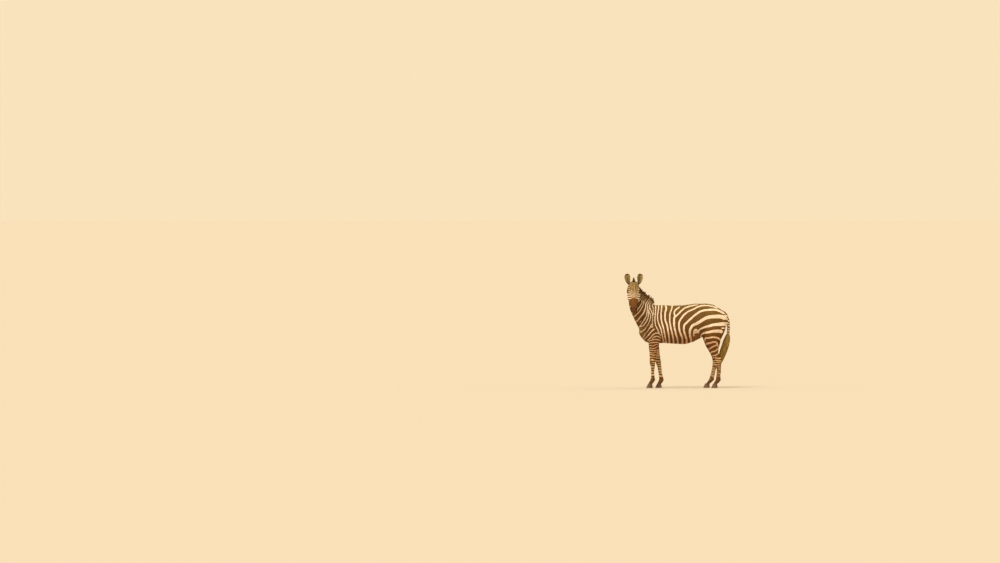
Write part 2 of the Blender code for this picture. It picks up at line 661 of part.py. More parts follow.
def make_hoof(name, toe, x, length, width, where):
    """A hoof: flat on the ground, its wall rising to a smaller coronet that is lower behind."""
    ground = []
    coronet = []
    for i in range(HOOF_POINTS):
        across, level = superellipse(2 * math.pi * i / HOOF_POINTS, HOOF_ROUNDNESS)
        back = (1 + level) / 2
        ground.append(Vector((x + across * width / 2, toe + length * back, 0.0)))
        y = toe + length * (CORONET_START + CORONET_LENGTH * back)
        height = HOOF_TOE_HEIGHT + (HOOF_HEEL_HEIGHT - HOOF_TOE_HEIGHT) * back
        coronet.append(Vector((x + across * width / 2 * CORONET_WIDTH, y, height)))
    rings = [[low.lerp(high, share) for low, high in zip(ground, coronet)] for share in HOOF_LEVELS]
    return loft(name, rings, where)


def make_eye(name, side, where):
    """An eyeball, most of it inside the head."""
    bm = bmesh.new()
    bmesh.ops.create_uvsphere(bm, u_segments=12, v_segments=8, radius=EYE_RADIUS)
    eye = new_object(name, bm, where)
    eye.location = head_axes() @ Vector((EYE_PLACE[0], EYE_PLACE[1] * side, EYE_PLACE[2]))
    eye.data.shade_smooth()
    return eye


def make_ear(name, side, where):
    """A cupped leaf that stands at the side of the poll, open to the front of the head."""
    root = Vector((EAR_ROOT[0], HEAD_ORIGIN.y + EAR_ROOT[1] * side, EAR_ROOT[2]))
    tip = Vector((EAR_TIP[0], HEAD_ORIGIN.y + EAR_TIP[1] * side, EAR_TIP[2]))
    axis = (tip - root).normalized()
    facing = Vector((1.0, EAR_SPLAY * side, 0.0))
    facing = (facing - axis * facing.dot(axis)).normalized()
    across = axis.cross(facing)
    length = (tip - root).length
    table = np.array(EAR_SHAPE)
    shape = spline(table[:, 0], table[:, 1:], np.array(EAR_ROWS))
    bm = bmesh.new()
    rows = []
    for share, (spread, wrap) in zip(EAR_ROWS, shape):
        wrap = math.radians(wrap)
        half_width = EAR_WIDTH / 2 * spread
        radius = half_width / math.sin(min(wrap, math.pi / 2))
        row = []
        for i in range(EAR_COLUMNS):
            angle = wrap * (2 * i / (EAR_COLUMNS - 1) - 1)
            place = root + axis * (length * share) + across * (radius * math.sin(angle))
            place += facing * (radius * (0.5 - math.cos(angle)))
            row.append(bm.verts.new(place))
        rows.append(row)
    for lower, upper in zip(rows, rows[1:]):
        for i in range(EAR_COLUMNS - 1):
            bm.faces.new((lower[i], lower[i + 1], upper[i + 1], upper[i]))
    ear = new_object(name, bm, where)
    shell = ear.modifiers.new("shell", "SOLIDIFY")
    shell.thickness = EAR_SKIN
    shell.offset = 0.0
    return apply_modifiers(ear)


def make_mane(where):
    """The upright mane: a tapering fin on the crest, from the withers over the poll."""
    curve = neck_curve(0.25)[MANE_START:]
    crests = [crest for crest, _, _ in curve]
    rises = [(crest - throat).normalized() for crest, throat, _ in curve]
    crests += [HEAD_ORIGIN + Vector(offset) for offset, _ in MANE_OVER_POLL]
    rises += [Vector(rise).normalized() for _, rise in MANE_OVER_POLL]
    edge = np.array(MANE_EDGE)
    rings = []
    for i, crest in enumerate(crests):
        ahead = crests[min(i + 1, len(crests) - 1)]
        behind = crests[max(i - 1, 0)]
        along = (ahead - behind).normalized()
        rise = (rises[i] - along * rises[i].dot(along)).normalized()
        side = along.cross(rise).normalized()
        share = i / (len(crests) - 1)
        height = spline(edge[:, 0], edge[:, 1:], np.array([share]))[0, 0]
        height += MANE_TUFTING * math.sin(MANE_TUFTS * math.pi * share)
        rings.append(section(crest, side, rise, -MANE_DEPTH, height, MANE_THICKNESS / 2, 0.0,
                             2.0, MANE_POINTEDNESS, HAIR_POINTS))
    return loft("mane_whole", rings, where)


def slab(name, middle, normal, width, height, where):
    """A thin box, square to the normal: a cutter that parts two pieces by the gap."""
    bm = bmesh.new()
    bmesh.ops.create_cube(bm, size=1.0)
    bmesh.ops.scale(bm, vec=(width, height, GAP), verts=bm.verts)
    cutter = new_object(name, bm, where)
    normal = Vector(normal).normalized()
    side = Vector((1, 0, 0)) - normal * normal.x
    if side.length < 0.5:
        side = Vector((0, 1, 0)) - normal * normal.y
    side.normalize()
    turn = Matrix((side, normal.cross(side), normal)).transposed().to_4x4()
    cutter.matrix_world = Matrix.Translation(middle) @ turn
    cutter.hide_render = True
    cutter.display_type = "WIRE"
    return cutter


def part_flesh(flesh, middles, where):
    """Split the cut skin into its separate bodies, each named for the nearest given middle."""
    bm = bmesh.new()
    bm.from_mesh(flesh.data)
    bm.verts.index_update()
    owners = {}
    for island in loose_parts(bm):
        if len(island) < SMALLEST_PIECE:
            continue
        middle = sum((v.co for v in island), Vector()) / len(island)
        name = min(middles, key=lambda key: (Vector(middles[key]) - middle).length)
        owners.setdefault(name, set()).update(v.index for v in island)
    made = []
    for name in middles:
        piece = bm.copy()
        piece.verts.ensure_lookup_table()
        others = [v for v in piece.verts if v.index not in owners[name]]
        bmesh.ops.delete(piece, geom=others, context="VERTS")
        made.append(new_object(name, piece, where))
    bm.free()
    bpy.data.objects.remove(flesh)
    return made


def main():
    """Build every piece, part the skin and set the origin under the middle of the whole."""
    for obj in list(bpy.data.objects):
        bpy.data.objects.remove(obj)
    parts = collection("zebra")
    guides = collection("cutters")
    flesh = make_flesh(parts)

    tail = make_tail_piece("tail", TAIL_DOCK, parts)
    tuft = make_tail_piece("tail_tuft", TAIL_TUFT, parts)
    hooves = [make_hoof(*hoof, parts) for hoof in HOOVES]
    eyes = [make_eye("eye_left", 1, parts), make_eye("eye_right", -1, parts)]
    bpy.context.view_layer.update()
    for piece in (tail, *hooves, *eyes):
        subtract(flesh, inflated(piece.name + "_space", piece, GAP, guides))
    tidy(flesh)
    keep_largest(flesh)

    around = inflated("flesh_space", flesh, GAP, guides)
    ears = [make_ear("ear_left", 1, parts), make_ear("ear_right", -1, parts)]
    mane = make_mane(parts)
    for piece in (*ears, mane):
        keep_largest(subtract(piece, around))
    for piece in ears:
        subtract(piece, inflated(piece.name + "_space", mane, GAP, guides))

    cuts = list(BODY_CUTS)
    axes = head_axes()
    cuts.append((axes @ Vector(MUZZLE_CUT), axes.col[0].xyz, MUZZLE_CUT_SIZE, MUZZLE_CUT_SIZE))
    for middle, normal, width, height in cuts:
        subtract(flesh, slab("cut", middle, normal, width, height, guides))
    subtract(mane, slab("forelock_cut", FORELOCK_CUT, (1, 0, 0), *FORELOCK_CUT_SIZE, guides))
    middles = dict(PIECE_MIDDLES)
    for name, middle in HEAD_PIECE_MIDDLES.items():
        middles[name] = axes @ Vector(middle)
    pieces = part_flesh(flesh, middles, parts)
    hair = part_flesh(mane, HAIR_PIECE_MIDDLES, parts)
    finish_all(pieces, hair + [tail, tuft], hooves, eyes, ears)
    centre_on_origin(parts)


def finish_all(pieces, hair, hooves, eyes, ears):
    """Give every piece its finish and smooth shading."""
    coat = (COAT_CREAM, 0.8)
    finishes = [(piece, coat) for piece in pieces + ears]
    finishes += [(piece, (COAT_BROWN, 0.8)) for piece in hair]
    finishes += [(piece, (HOOF_GREY, 0.5)) for piece in hooves]
    finishes += [(piece, (EYE_DARK, 0.1)) for piece in eyes]
    for piece, (colour, roughness) in finishes:
        if piece.name == "muzzle":
            colour = MUZZLE_BROWN
        piece.data.materials.clear()
        piece.data.materials.append(material(piece.name + "_finish", colour, roughness))
        tidy(piece)
        piece.data.shade_smooth()
        piece.data.set_sharp_from_angle(angle=CREASE_ANGLE)


def centre_on_origin(parts):
    """Parent every piece to an empty that puts the origin on the ground, mid width and length."""
    bpy.context.view_layer.update()
    corners = [obj.matrix_world @ Vector(corner) for obj in parts.objects for corner in obj.bound_box]
    middle_x = (min(c.x for c in corners) + max(c.x for c in corners)) / 2
    middle_y = (min(c.y for c in corners) + max(c.y for c in corners)) / 2
    origin = bpy.data.objects.new("zebra_origin", None)
    parts.objects.link(origin)
    for obj in parts.objects:
        if obj is not origin:
            obj.parent = origin
    origin.location = (-middle_x, -middle_y, 0.0)


main()
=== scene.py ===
"""Grant's zebra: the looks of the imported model.

One skin stands for the flesh, carries the stripes and is covered in short tufts that follow the
lie of the coat.  Mane, forelock and tail tuft are locks of long hair.  Lengths are in metres.

The tables below use the body's own axes: X from the middle of the trunk to its left, Y from the
breast to the tail, Z up from the ground.  BODY_SHIFT carries them into the model's frame.
"""
import math

import bmesh
import bpy
import numpy as np
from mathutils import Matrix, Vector


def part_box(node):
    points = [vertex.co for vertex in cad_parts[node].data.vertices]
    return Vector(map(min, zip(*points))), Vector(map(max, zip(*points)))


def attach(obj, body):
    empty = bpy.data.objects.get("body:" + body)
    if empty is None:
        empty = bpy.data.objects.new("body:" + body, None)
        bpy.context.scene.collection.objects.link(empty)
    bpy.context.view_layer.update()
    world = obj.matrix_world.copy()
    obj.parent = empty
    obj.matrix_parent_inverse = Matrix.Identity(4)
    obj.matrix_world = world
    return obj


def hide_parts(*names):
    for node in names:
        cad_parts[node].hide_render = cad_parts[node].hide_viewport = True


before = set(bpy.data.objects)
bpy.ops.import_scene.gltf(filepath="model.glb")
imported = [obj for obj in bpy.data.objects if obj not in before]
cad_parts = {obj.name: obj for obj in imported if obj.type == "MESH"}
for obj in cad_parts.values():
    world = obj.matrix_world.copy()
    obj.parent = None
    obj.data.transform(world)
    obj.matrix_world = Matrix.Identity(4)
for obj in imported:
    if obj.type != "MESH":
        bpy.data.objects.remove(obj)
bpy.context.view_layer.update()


# ---- places that come from the frame, and the axes of body and head ---------------------------
def node_box(name):
    """Lowest and highest corner of a node, as arrays."""
    low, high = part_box(name)
    return np.array(low, float), np.array(high, float)


HOOF_TOE_Y = -0.606                     # y of the left fore hoof's toe in the body's own axes
tail_low, tail_high = node_box("tail")
toe_low, toe_high = node_box("hoof_fore_left")
BODY_SHIFT = np.array([(tail_low[0] + tail_high[0]) / 2, toe_low[1] - HOOF_TOE_Y, 0.0])

HEAD_ORIGIN = np.array([0.300, -0.803, 1.666])
HEAD_PITCH = math.radians(38)
ALONG = np.array([math.sin(HEAD_PITCH), 0.0, -math.cos(HEAD_PITCH)])
ASIDE = np.array([0.0, 1.0, 0.0])
ABOVE = np.array([math.cos(HEAD_PITCH), 0.0, math.sin(HEAD_PITCH)])
HEAD_AXES = np.stack([ALONG, ASIDE, ABOVE])
HEAD_CUT = np.array([0.189, -0.800, 1.500])       # plane between head and neck
HEAD_CUT_NORMAL = np.array([0.951, -0.307, -0.051])

# Neck, shoulders to poll: crest point, throat point, half width.
NECK = np.array([
    (0.000, -0.360, 1.270, 0.000, -0.570, 0.800, 0.155),
    (0.000, -0.490, 1.303, 0.000, -0.700, 0.900, 0.144),
    (0.012, -0.580, 1.358, 0.018, -0.766, 1.020, 0.124),
    (0.040, -0.664, 1.425, 0.044, -0.822, 1.145, 0.108),
    (0.090, -0.742, 1.502, 0.074, -0.860, 1.268, 0.099),
    (0.168, -0.790, 1.578, 0.112, -0.864, 1.385, 0.090),
    (0.258, -0.804, 1.636, 0.190, -0.834, 1.490, 0.078),
])

# ---- stripes: half width at the start and the end, then the way of each pale stripe (y, z) ------
PALE_STRIPES = (
    # upper neck, under the head
    (0.010, 0.013, ((-0.790, 1.655), (-0.800, 1.600), (-0.825, 1.540), (-0.860, 1.500))),
    (0.010, 0.013, ((-0.750, 1.625), (-0.775, 1.555), (-0.815, 1.470), (-0.870, 1.415))),
    (0.010, 0.013, ((-0.715, 1.580), (-0.745, 1.500), (-0.790, 1.405), (-0.870, 1.330))),
    (0.010, 0.013, ((-0.685, 1.530), (-0.715, 1.440), (-0.755, 1.350), (-0.800, 1.290), (-0.865, 1.250))),
    # neck
    (0.008, 0.012, ((-0.640, 1.490), (-0.672, 1.420), (-0.692, 1.375), (-0.684, 1.335), (-0.692, 1.306),
                    (-0.706, 1.278), (-0.722, 1.254), (-0.742, 1.222), (-0.766, 1.198), (-0.800, 1.178),
                    (-0.840, 1.165))),
    (0.006, 0.007, ((-0.605, 1.440), (-0.628, 1.395), (-0.655, 1.372), (-0.664, 1.352), (-0.646, 1.322))),
    (0.007, 0.013, ((-0.585, 1.400), (-0.618, 1.372), (-0.634, 1.346), (-0.646, 1.322), (-0.662, 1.282),
                    (-0.678, 1.246), (-0.694, 1.218), (-0.714, 1.190), (-0.738, 1.162), (-0.762, 1.142),
                    (-0.790, 1.116), (-0.820, 1.100))),
    (0.009, 0.017, ((-0.565, 1.400), (-0.590, 1.350), (-0.614, 1.300), (-0.616, 1.250), (-0.630, 1.214),
                    (-0.646, 1.174), (-0.670, 1.142), (-0.692, 1.116), (-0.714, 1.086), (-0.738, 1.056),
                    (-0.765, 1.030))),
    (0.006, 0.003, ((-0.702, 1.024), (-0.684, 1.044))),
    (0.008, 0.010, ((-0.540, 1.390), (-0.562, 1.340), (-0.584, 1.290), (-0.584, 1.250), (-0.590, 1.210),
                    (-0.596, 1.170), (-0.602, 1.130), (-0.616, 1.100), (-0.628, 1.075), (-0.642, 1.050),
                    (-0.662, 1.020), (-0.680, 0.995), (-0.694, 0.970), (-0.720, 0.945))),
    # shoulder fan
    (0.007, 0.010, ((-0.512, 1.380), (-0.532, 1.335), (-0.552, 1.290), (-0.552, 1.250), (-0.566, 1.215),
                    (-0.569, 1.180), (-0.572, 1.140), (-0.578, 1.100), (-0.588, 1.070), (-0.596, 1.050),
                    (-0.614, 1.020), (-0.636, 0.988), (-0.662, 0.966), (-0.694, 0.956))),
    (0.004, 0.010, ((-0.566, 1.205), (-0.553, 1.168), (-0.540, 1.135), (-0.537, 1.105), (-0.545, 1.070),
                    (-0.553, 1.045), (-0.571, 1.003), (-0.589, 0.972), (-0.613, 0.936), (-0.636, 0.909),
                    (-0.660, 0.888), (-0.700, 0.870))),
    (0.006, 0.006, ((-0.552, 1.270), (-0.546, 1.246), (-0.534, 1.214), (-0.518, 1.178), (-0.509, 1.150),
                    (-0.505, 1.120), (-0.507, 1.050), (-0.511, 1.000), (-0.506, 0.968), (-0.521, 0.945))),
    (0.005, 0.006, ((-0.511, 1.000), (-0.527, 0.990), (-0.538, 0.966), (-0.521, 0.945))),
    (0.007, 0.004, ((-0.508, 1.350), (-0.510, 1.290), (-0.496, 1.240), (-0.494, 1.198), (-0.490, 1.150))),
    (0.008, 0.009, ((-0.546, 0.947), (-0.572, 0.903), (-0.595, 0.874), (-0.618, 0.850), (-0.638, 0.810),
                    (-0.652, 0.780), (-0.662, 0.760))),
    (0.011, 0.009, ((-0.484, 0.920), (-0.511, 0.897), (-0.536, 0.870), (-0.552, 0.850), (-0.585, 0.812),
                    (-0.606, 0.785), (-0.626, 0.765), (-0.650, 0.730))),
    (0.007, 0.009, ((-0.388, 0.825), (-0.402, 0.848), (-0.425, 0.858), (-0.450, 0.858), (-0.477, 0.848),
                    (-0.507, 0.824), (-0.536, 0.790), (-0.565, 0.761), (-0.584, 0.742), (-0.600, 0.715))),
    (0.006, 0.007, ((-0.375, 0.780), (-0.402, 0.797), (-0.430, 0.807), (-0.458, 0.805), (-0.492, 0.790),
                    (-0.515, 0.775))),
    (0.007, 0.009, ((-0.385, 0.740), (-0.410, 0.750), (-0.438, 0.758), (-0.477, 0.758), (-0.507, 0.754),
                    (-0.540, 0.742), (-0.562, 0.732))),
    (0.007, 0.009, ((-0.400, 0.695), (-0.418, 0.708), (-0.450, 0.714), (-0.494, 0.712), (-0.533, 0.706),
                    (-0.585, 0.695))),
    # forearm
    (0.005, 0.007, ((-0.426, 0.676), (-0.440, 0.682), (-0.463, 0.677), (-0.482, 0.666), (-0.504, 0.660),
                    (-0.537, 0.665), (-0.590, 0.666))),
    (0.006, 0.006, ((-0.420, 0.648), (-0.440, 0.640), (-0.459, 0.630), (-0.475, 0.617), (-0.502, 0.616),
                    (-0.540, 0.625), (-0.590, 0.628))),
    (0.006, 0.005, ((-0.420, 0.605), (-0.440, 0.594), (-0.463, 0.584), (-0.500, 0.583), (-0.535, 0.592),
                    (-0.580, 0.585))),
    # ribs
    (0.010, 0.006, ((-0.460, 1.330), (-0.458, 1.240), (-0.459, 1.190), (-0.465, 1.140), (-0.470, 1.097),
                    (-0.471, 1.058), (-0.467, 1.020), (-0.458, 0.975), (-0.438, 0.931), (-0.420, 0.892),
                    (-0.408, 0.862), (-0.402, 0.846))),
    (0.008, 0.007, ((-0.410, 1.330), (-0.412, 1.267), (-0.414, 1.233), (-0.421, 1.190), (-0.429, 1.145),
                    (-0.431, 1.107), (-0.425, 1.050), (-0.409, 1.000), (-0.392, 0.960), (-0.380, 0.926),
                    (-0.370, 0.883), (-0.362, 0.840), (-0.350, 0.790), (-0.340, 0.740), (-0.335, 0.690))),
    (0.009, 0.008, ((-0.360, 1.330), (-0.363, 1.296), (-0.365, 1.252), (-0.370, 1.204), (-0.375, 1.155),
                    (-0.375, 1.107), (-0.368, 1.050), (-0.355, 1.000), (-0.342, 0.950), (-0.334, 0.912),
                    (-0.326, 0.873), (-0.317, 0.835), (-0.308, 0.790), (-0.300, 0.740), (-0.295, 0.690))),
    (0.010, 0.008, ((-0.300, 1.330), (-0.302, 1.290), (-0.295, 1.250), (-0.298, 1.218), (-0.309, 1.180),
                    (-0.314, 1.140), (-0.314, 1.097), (-0.308, 1.055), (-0.295, 1.019), (-0.282, 0.980),
                    (-0.273, 0.931), (-0.265, 0.883), (-0.258, 0.839), (-0.252, 0.795), (-0.246, 0.750),
                    (-0.242, 0.690))),
    (0.008, 0.008, ((-0.196, 1.320), (-0.203, 1.262), (-0.210, 1.233), (-0.220, 1.205), (-0.234, 1.170),
                    (-0.239, 1.131), (-0.241, 1.092), (-0.241, 1.050), (-0.234, 1.000), (-0.226, 0.960),
                    (-0.217, 0.912), (-0.209, 0.880), (-0.200, 0.839), (-0.190, 0.795), (-0.182, 0.750),
                    (-0.178, 0.690))),
    # flank: the fork, and the stripes that sweep back from it
    (0.012, 0.009, ((-0.158, 1.118), (-0.172, 1.085), (-0.174, 1.050), (-0.173, 1.000), (-0.168, 0.950),
                    (-0.158, 0.902), (-0.146, 0.853), (-0.134, 0.812), (-0.120, 0.770), (-0.112, 0.690))),
    (0.009, 0.006, ((-0.161, 1.116), (-0.168, 1.155), (-0.168, 1.180), (-0.156, 1.209), (-0.137, 1.228),
                    (-0.112, 1.243), (-0.090, 1.262), (-0.060, 1.310))),
    (0.009, 0.007, ((-0.161, 1.116), (-0.132, 1.131), (-0.102, 1.160), (-0.070, 1.192), (-0.045, 1.216),
                    (-0.020, 1.237), (0.004, 1.250), (0.035, 1.262), (0.090, 1.276), (0.150, 1.292),
                    (0.230, 1.312))),
    (0.011, 0.007, ((-0.042, 0.690), (-0.045, 0.770), (-0.060, 0.820), (-0.075, 0.858), (-0.088, 0.897),
                    (-0.095, 0.936), (-0.098, 0.980), (-0.095, 1.019), (-0.084, 1.053), (-0.055, 1.098),
                    (-0.033, 1.127), (-0.006, 1.153), (0.025, 1.177), (0.050, 1.194), (0.077, 1.208),
                    (0.108, 1.220), (0.144, 1.236), (0.170, 1.251), (0.196, 1.265), (0.222, 1.275),
                    (0.253, 1.281), (0.295, 1.285), (0.341, 1.285), (0.380, 1.281), (0.430, 1.272),
                    (0.500, 1.246))),
    (0.010, 0.012, ((0.025, 0.690), (0.019, 0.768), (0.009, 0.800), (-0.002, 0.831), (-0.014, 0.867),
                    (-0.022, 0.903), (-0.022, 0.955), (-0.006, 0.992), (0.014, 1.014), (0.045, 1.044),
                    (0.077, 1.073), (0.108, 1.100), (0.139, 1.127), (0.170, 1.150), (0.201, 1.172),
                    (0.232, 1.191), (0.263, 1.204), (0.305, 1.214), (0.367, 1.219), (0.419, 1.221),
                    (0.471, 1.219), (0.513, 1.209), (0.544, 1.195), (0.575, 1.179), (0.604, 1.160),
                    (0.628, 1.138))),
    (0.010, 0.024, ((0.098, 0.690), (0.090, 0.748), (0.087, 0.774), (0.079, 0.800), (0.074, 0.826),
                    (0.071, 0.867), (0.076, 0.909), (0.092, 0.945), (0.108, 0.971), (0.134, 0.987),
                    (0.170, 1.002), (0.201, 1.020), (0.232, 1.038), (0.263, 1.059), (0.295, 1.080),
                    (0.326, 1.094), (0.367, 1.105), (0.419, 1.112), (0.471, 1.116), (0.523, 1.116),
                    (0.565, 1.110), (0.596, 1.098), (0.620, 1.078), (0.632, 1.056))),
    (0.007, 0.012, ((0.132, 0.815), (0.134, 0.850), (0.140, 0.880), (0.152, 0.902), (0.168, 0.908))),
    (0.012, 0.009, ((0.168, 0.908), (0.182, 0.900), (0.186, 0.884), (0.176, 0.870), (0.162, 0.866))),
    # haunch
    (0.006, 0.025, ((0.206, 0.855), (0.208, 0.885), (0.220, 0.908), (0.240, 0.923), (0.263, 0.934),
                    (0.295, 0.949), (0.336, 0.960), (0.378, 0.971), (0.419, 0.983), (0.471, 0.990),
                    (0.523, 0.995), (0.575, 1.000), (0.612, 0.992), (0.637, 0.970), (0.650, 0.930))),
    (0.008, 0.021, ((0.244, 0.800), (0.254, 0.832), (0.274, 0.851), (0.305, 0.859), (0.347, 0.869),
                    (0.388, 0.877), (0.430, 0.885), (0.471, 0.889), (0.523, 0.889), (0.562, 0.882))),
    (0.009, 0.006, ((0.574, 0.938), (0.596, 0.931))),
    (0.009, 0.010, ((0.306, 0.735), (0.304, 0.762), (0.322, 0.777), (0.365, 0.783), (0.424, 0.792),
                    (0.465, 0.792), (0.507, 0.782), (0.530, 0.768), (0.552, 0.745))),
    (0.011, 0.008, ((0.326, 0.688), (0.351, 0.695), (0.388, 0.704), (0.424, 0.716), (0.452, 0.722),
                    (0.479, 0.716), (0.496, 0.699), (0.501, 0.676), (0.512, 0.650))),
    (0.007, 0.008, ((0.345, 0.602), (0.383, 0.616), (0.410, 0.632), (0.442, 0.652), (0.470, 0.664),
                    (0.498, 0.682))),
    (0.008, 0.007, ((0.385, 0.549), (0.398, 0.554), (0.420, 0.566), (0.447, 0.569), (0.470, 0.580),
                    (0.493, 0.598), (0.515, 0.620))),
    (0.007, 0.006, ((0.395, 0.505), (0.425, 0.508), (0.452, 0.505), (0.475, 0.511), (0.492, 0.526),
                    (0.520, 0.540))),
)

# How wide the pale stripes are, against the table, at places along the body (y, share).
STRIPE_SHARES = np.array([(-0.74, 0.72), (-0.62, 0.72), (-0.54, 0.78), (-0.46, 0.86), (-0.40, 1.08),
                          (-0.30, 1.30)])
STRIPE_LEAST = 0.0056         # no pale stripe is narrower than this half width
RUMP_END = 0.590              # behind this the stripes of the rump run level to the tail
STRIPE_GRID = 0.002           # cell of the grid that holds their distances
STRIPE_REACH = 0.070          # farther than this from a pale stripe nothing changes
GRID_LOW = np.array([-1.05, 0.40])
GRID_HIGH = np.array([0.80, 1.80])

# Half widths of the dark lines along the back, on the croup at the tail and under the belly.
BACK_LINE = 0.010
CROUP_LINE = 0.026
BELLY_LINE = 0.012

# The front of the neck (y, z); behind it the pale hair is tinted tan.
THROAT_LINE = NECK[:, [4, 5]]

# Rings of the legs: height of the middle of each dark ring, counted upwards.
FORE_RINGS = (0.130, 0.180, 0.228, 0.272, 0.308, 0.350, 0.383, 0.415, 0.458, 0.500, 0.535, 0.570,
              0.605, 0.645, 0.680)
HIND_RINGS = (0.135, 0.165, 0.195, 0.222, 0.247, 0.274, 0.300, 0.323, 0.348, 0.380, 0.412, 0.450,
              0.490, 0.530, 0.570)

# ---- finishes: linear colours of pale and deep hair, skin, horn and eye -----------------------
CREAM = np.array([0.900, 0.730, 0.560])
# pale hair low on the body: partly dust, partly painted shade under the belly and on the legs
CREAM_LOW_DUST_AND_SHADE = np.array([0.660, 0.400, 0.235])
LEG_CREAM = np.array([0.650, 0.445, 0.210])
BROWN = np.array([0.140, 0.050, 0.005])
# deep hair on top: partly sun-bleached, partly painted light from above
BROWN_TOP_BLEACHED_AND_LIT = np.array([0.195, 0.115, 0.020])
MUZZLE_BROWN = np.array([0.160, 0.058, 0.008])
MUZZLE_DARK = np.array([0.115, 0.042, 0.008])
BLAZE_PALE = np.array([0.640, 0.470, 0.290])
BLAZE_TAN = np.array([0.250, 0.150, 0.065])
CHIN_BROWN = np.array([0.200, 0.120, 0.070])
FOREHEAD_TAN = np.array([0.430, 0.290, 0.110])
FOREHEAD_DARK = np.array([0.125, 0.068, 0.018])
THROAT_TAN = np.array([0.560, 0.340, 0.160])
EAR_TAN = np.array([0.370, 0.262, 0.088])
EAR_DEEP = np.array([0.130, 0.070, 0.028])
BREAST_TAN = np.array([0.280, 0.170, 0.055])
FLANK_TAN = np.array([0.300, 0.120, 0.040])
PASTERN_BROWN = np.array([0.130, 0.056, 0.018])
BARE_SKIN = np.array([0.022, 0.014, 0.011])
MANE_BROWN = np.array([0.150, 0.070, 0.012])
TAIL_BROWN = np.array([0.330, 0.200, 0.040])
TAIL_TAN = np.array([0.480, 0.330, 0.140])

HORN_DARK = (0.075, 0.036, 0.017)
HORN_PALE = (0.150, 0.078, 0.036)
HORN_DUST = (0.260, 0.150, 0.070)
IRIS_DARK = (0.014, 0.006, 0.003)
IRIS_BROWN = (0.038, 0.017, 0.007)
WHITE_DARK = (0.022, 0.011, 0.007)       # the white of the eye, which is dark here
WHITE_PALE = (0.045, 0.024, 0.015)
PUPIL_BLACK = (0.004, 0.004, 0.006)

# ---- sizes ------------------------------------------------------------------------------------
JOIN_PUSH = 0.0010            # closes the thin cuts between the CAD pieces
SKIN_VOXEL = 0.0055           # grain of the skin before its head is refined
COAT_DEPTH = 0.0040           # the skin lies this far inside the outline of the coat
FACE_COAT_DEPTH = 0.0020
# The skin takes the place of these.
FLESH_NODES = ("head", "muzzle", "neck", "forequarters", "barrel", "hindquarters", "tail",
               "foreleg_left_upper", "foreleg_left_lower", "foreleg_right_upper",
               "foreleg_right_lower", "hindleg_left_upper", "hindleg_left_lower",
               "hindleg_right_upper", "hindleg_right_lower", "ear_left", "ear_right")
EAR_NODES = ("ear_left", "ear_right")
EYE_NODES = ("eye_left", "eye_right")
EYE_RADIUS = 0.0195
EYE_PLACE = (0.168, 0.0815, -0.034)      # along, aside, above
GAZE = (0.02, 0.97, 0.22)                # the way the left eye looks: along, aside, above
LID_TILT = 0.38                         # how the opening slants down towards the nose
LID_HALF_WIDTH = math.radians(64)
LID_UPPER = math.radians(36)
LID_LOWER = math.radians(27)
LID_THICKNESS = 0.0014
NOSTRIL_PLACE = (0.502, 0.036, -0.046)   # along, aside, above
NOSTRIL_WAY = (-0.42, -0.10, 0.90)       # the way of the slit, from its lower to its upper end
NOSTRIL_OUT = (0.45, 0.85, 0.20)         # the way the nostril looks
NOSTRIL_HALF_LENGTH = 0.0170
NOSTRIL_HALF_WIDTH = 0.0075
TUFT_SINK = 0.0004                       # how deep a tuft's foot stands in the skin

# Bumps of the head: along, aside, above; reach; height.
HEAD_BUMPS = (
    ((0.135, 0.078, 0.004), (0.040, 0.020, 0.014), 0.0050),     # brow
    ((0.098, 0.072, -0.012), (0.026, 0.020, 0.018), -0.0060),   # hollow over the eye
    ((0.120, 0.095, -0.150), (0.075, 0.060, 0.062), 0.0040),    # cheek
    ((0.235, 0.080, -0.075), (0.060, 0.030, 0.009), 0.0035),    # cheek ridge
    ((0.300, 0.070, -0.060), (0.050, 0.040, 0.016), -0.0030),   # under the nasal bone
    ((0.345, 0.055, -0.085), (0.050, 0.040, 0.030), -0.0025),   # hollow before the cheek
    ((0.400, 0.000, -0.005), (0.080, 0.012, 0.030), 0.0020),    # ridge of the nose
    ((0.498, 0.055, -0.052), (0.030, 0.030, 0.026), 0.0030),    # flare of the nostril
    ((0.470, 0.050, -0.050), (0.012, 0.030, 0.030), -0.0020),   # behind the nostril
    ((0.535, 0.000, -0.075), (0.020, 0.008, 0.020), -0.0016),   # furrow of the upper lip
    ((0.515, 0.000, -0.125), (0.020, 0.022, 0.016), 0.0020),    # chin
    ((0.470, 0.000, -0.135), (0.022, 0.040, 0.015), -0.0025),   # behind the chin
    ((0.320, 0.000, -0.165), (0.120, 0.022, 0.030), -0.0060),   # between the jaws
    ((0.178, 0.105, -0.062), (0.040, 0.020, 0.010), -0.0016),   # under the lower lid
)
# Lines of the head, seen from the side: height, half width, the line's way (along, above).
HEAD_CREASES = (
    (-0.0016, 0.0035, ((0.120, -0.070), (0.150, -0.068), (0.185, -0.066))),
    (0.0022, 0.0060, ((0.195, -0.072), (0.235, -0.080), (0.290, -0.086), (0.330, -0.088))),
    (-0.0022, 0.0070, ((0.195, -0.090), (0.240, -0.098), (0.290, -0.104))),
    (-0.0020, 0.0060, ((0.040, -0.100), (0.035, -0.150), (0.060, -0.200))),
    (0.0014, 0.0030, ((0.225, -0.190), (0.260, -0.150), (0.310, -0.120), (0.370, -0.104))),
    (-0.0012, 0.0025, ((0.440, -0.075), (0.452, -0.090), (0.456, -0.108), (0.448, -0.122))),
)
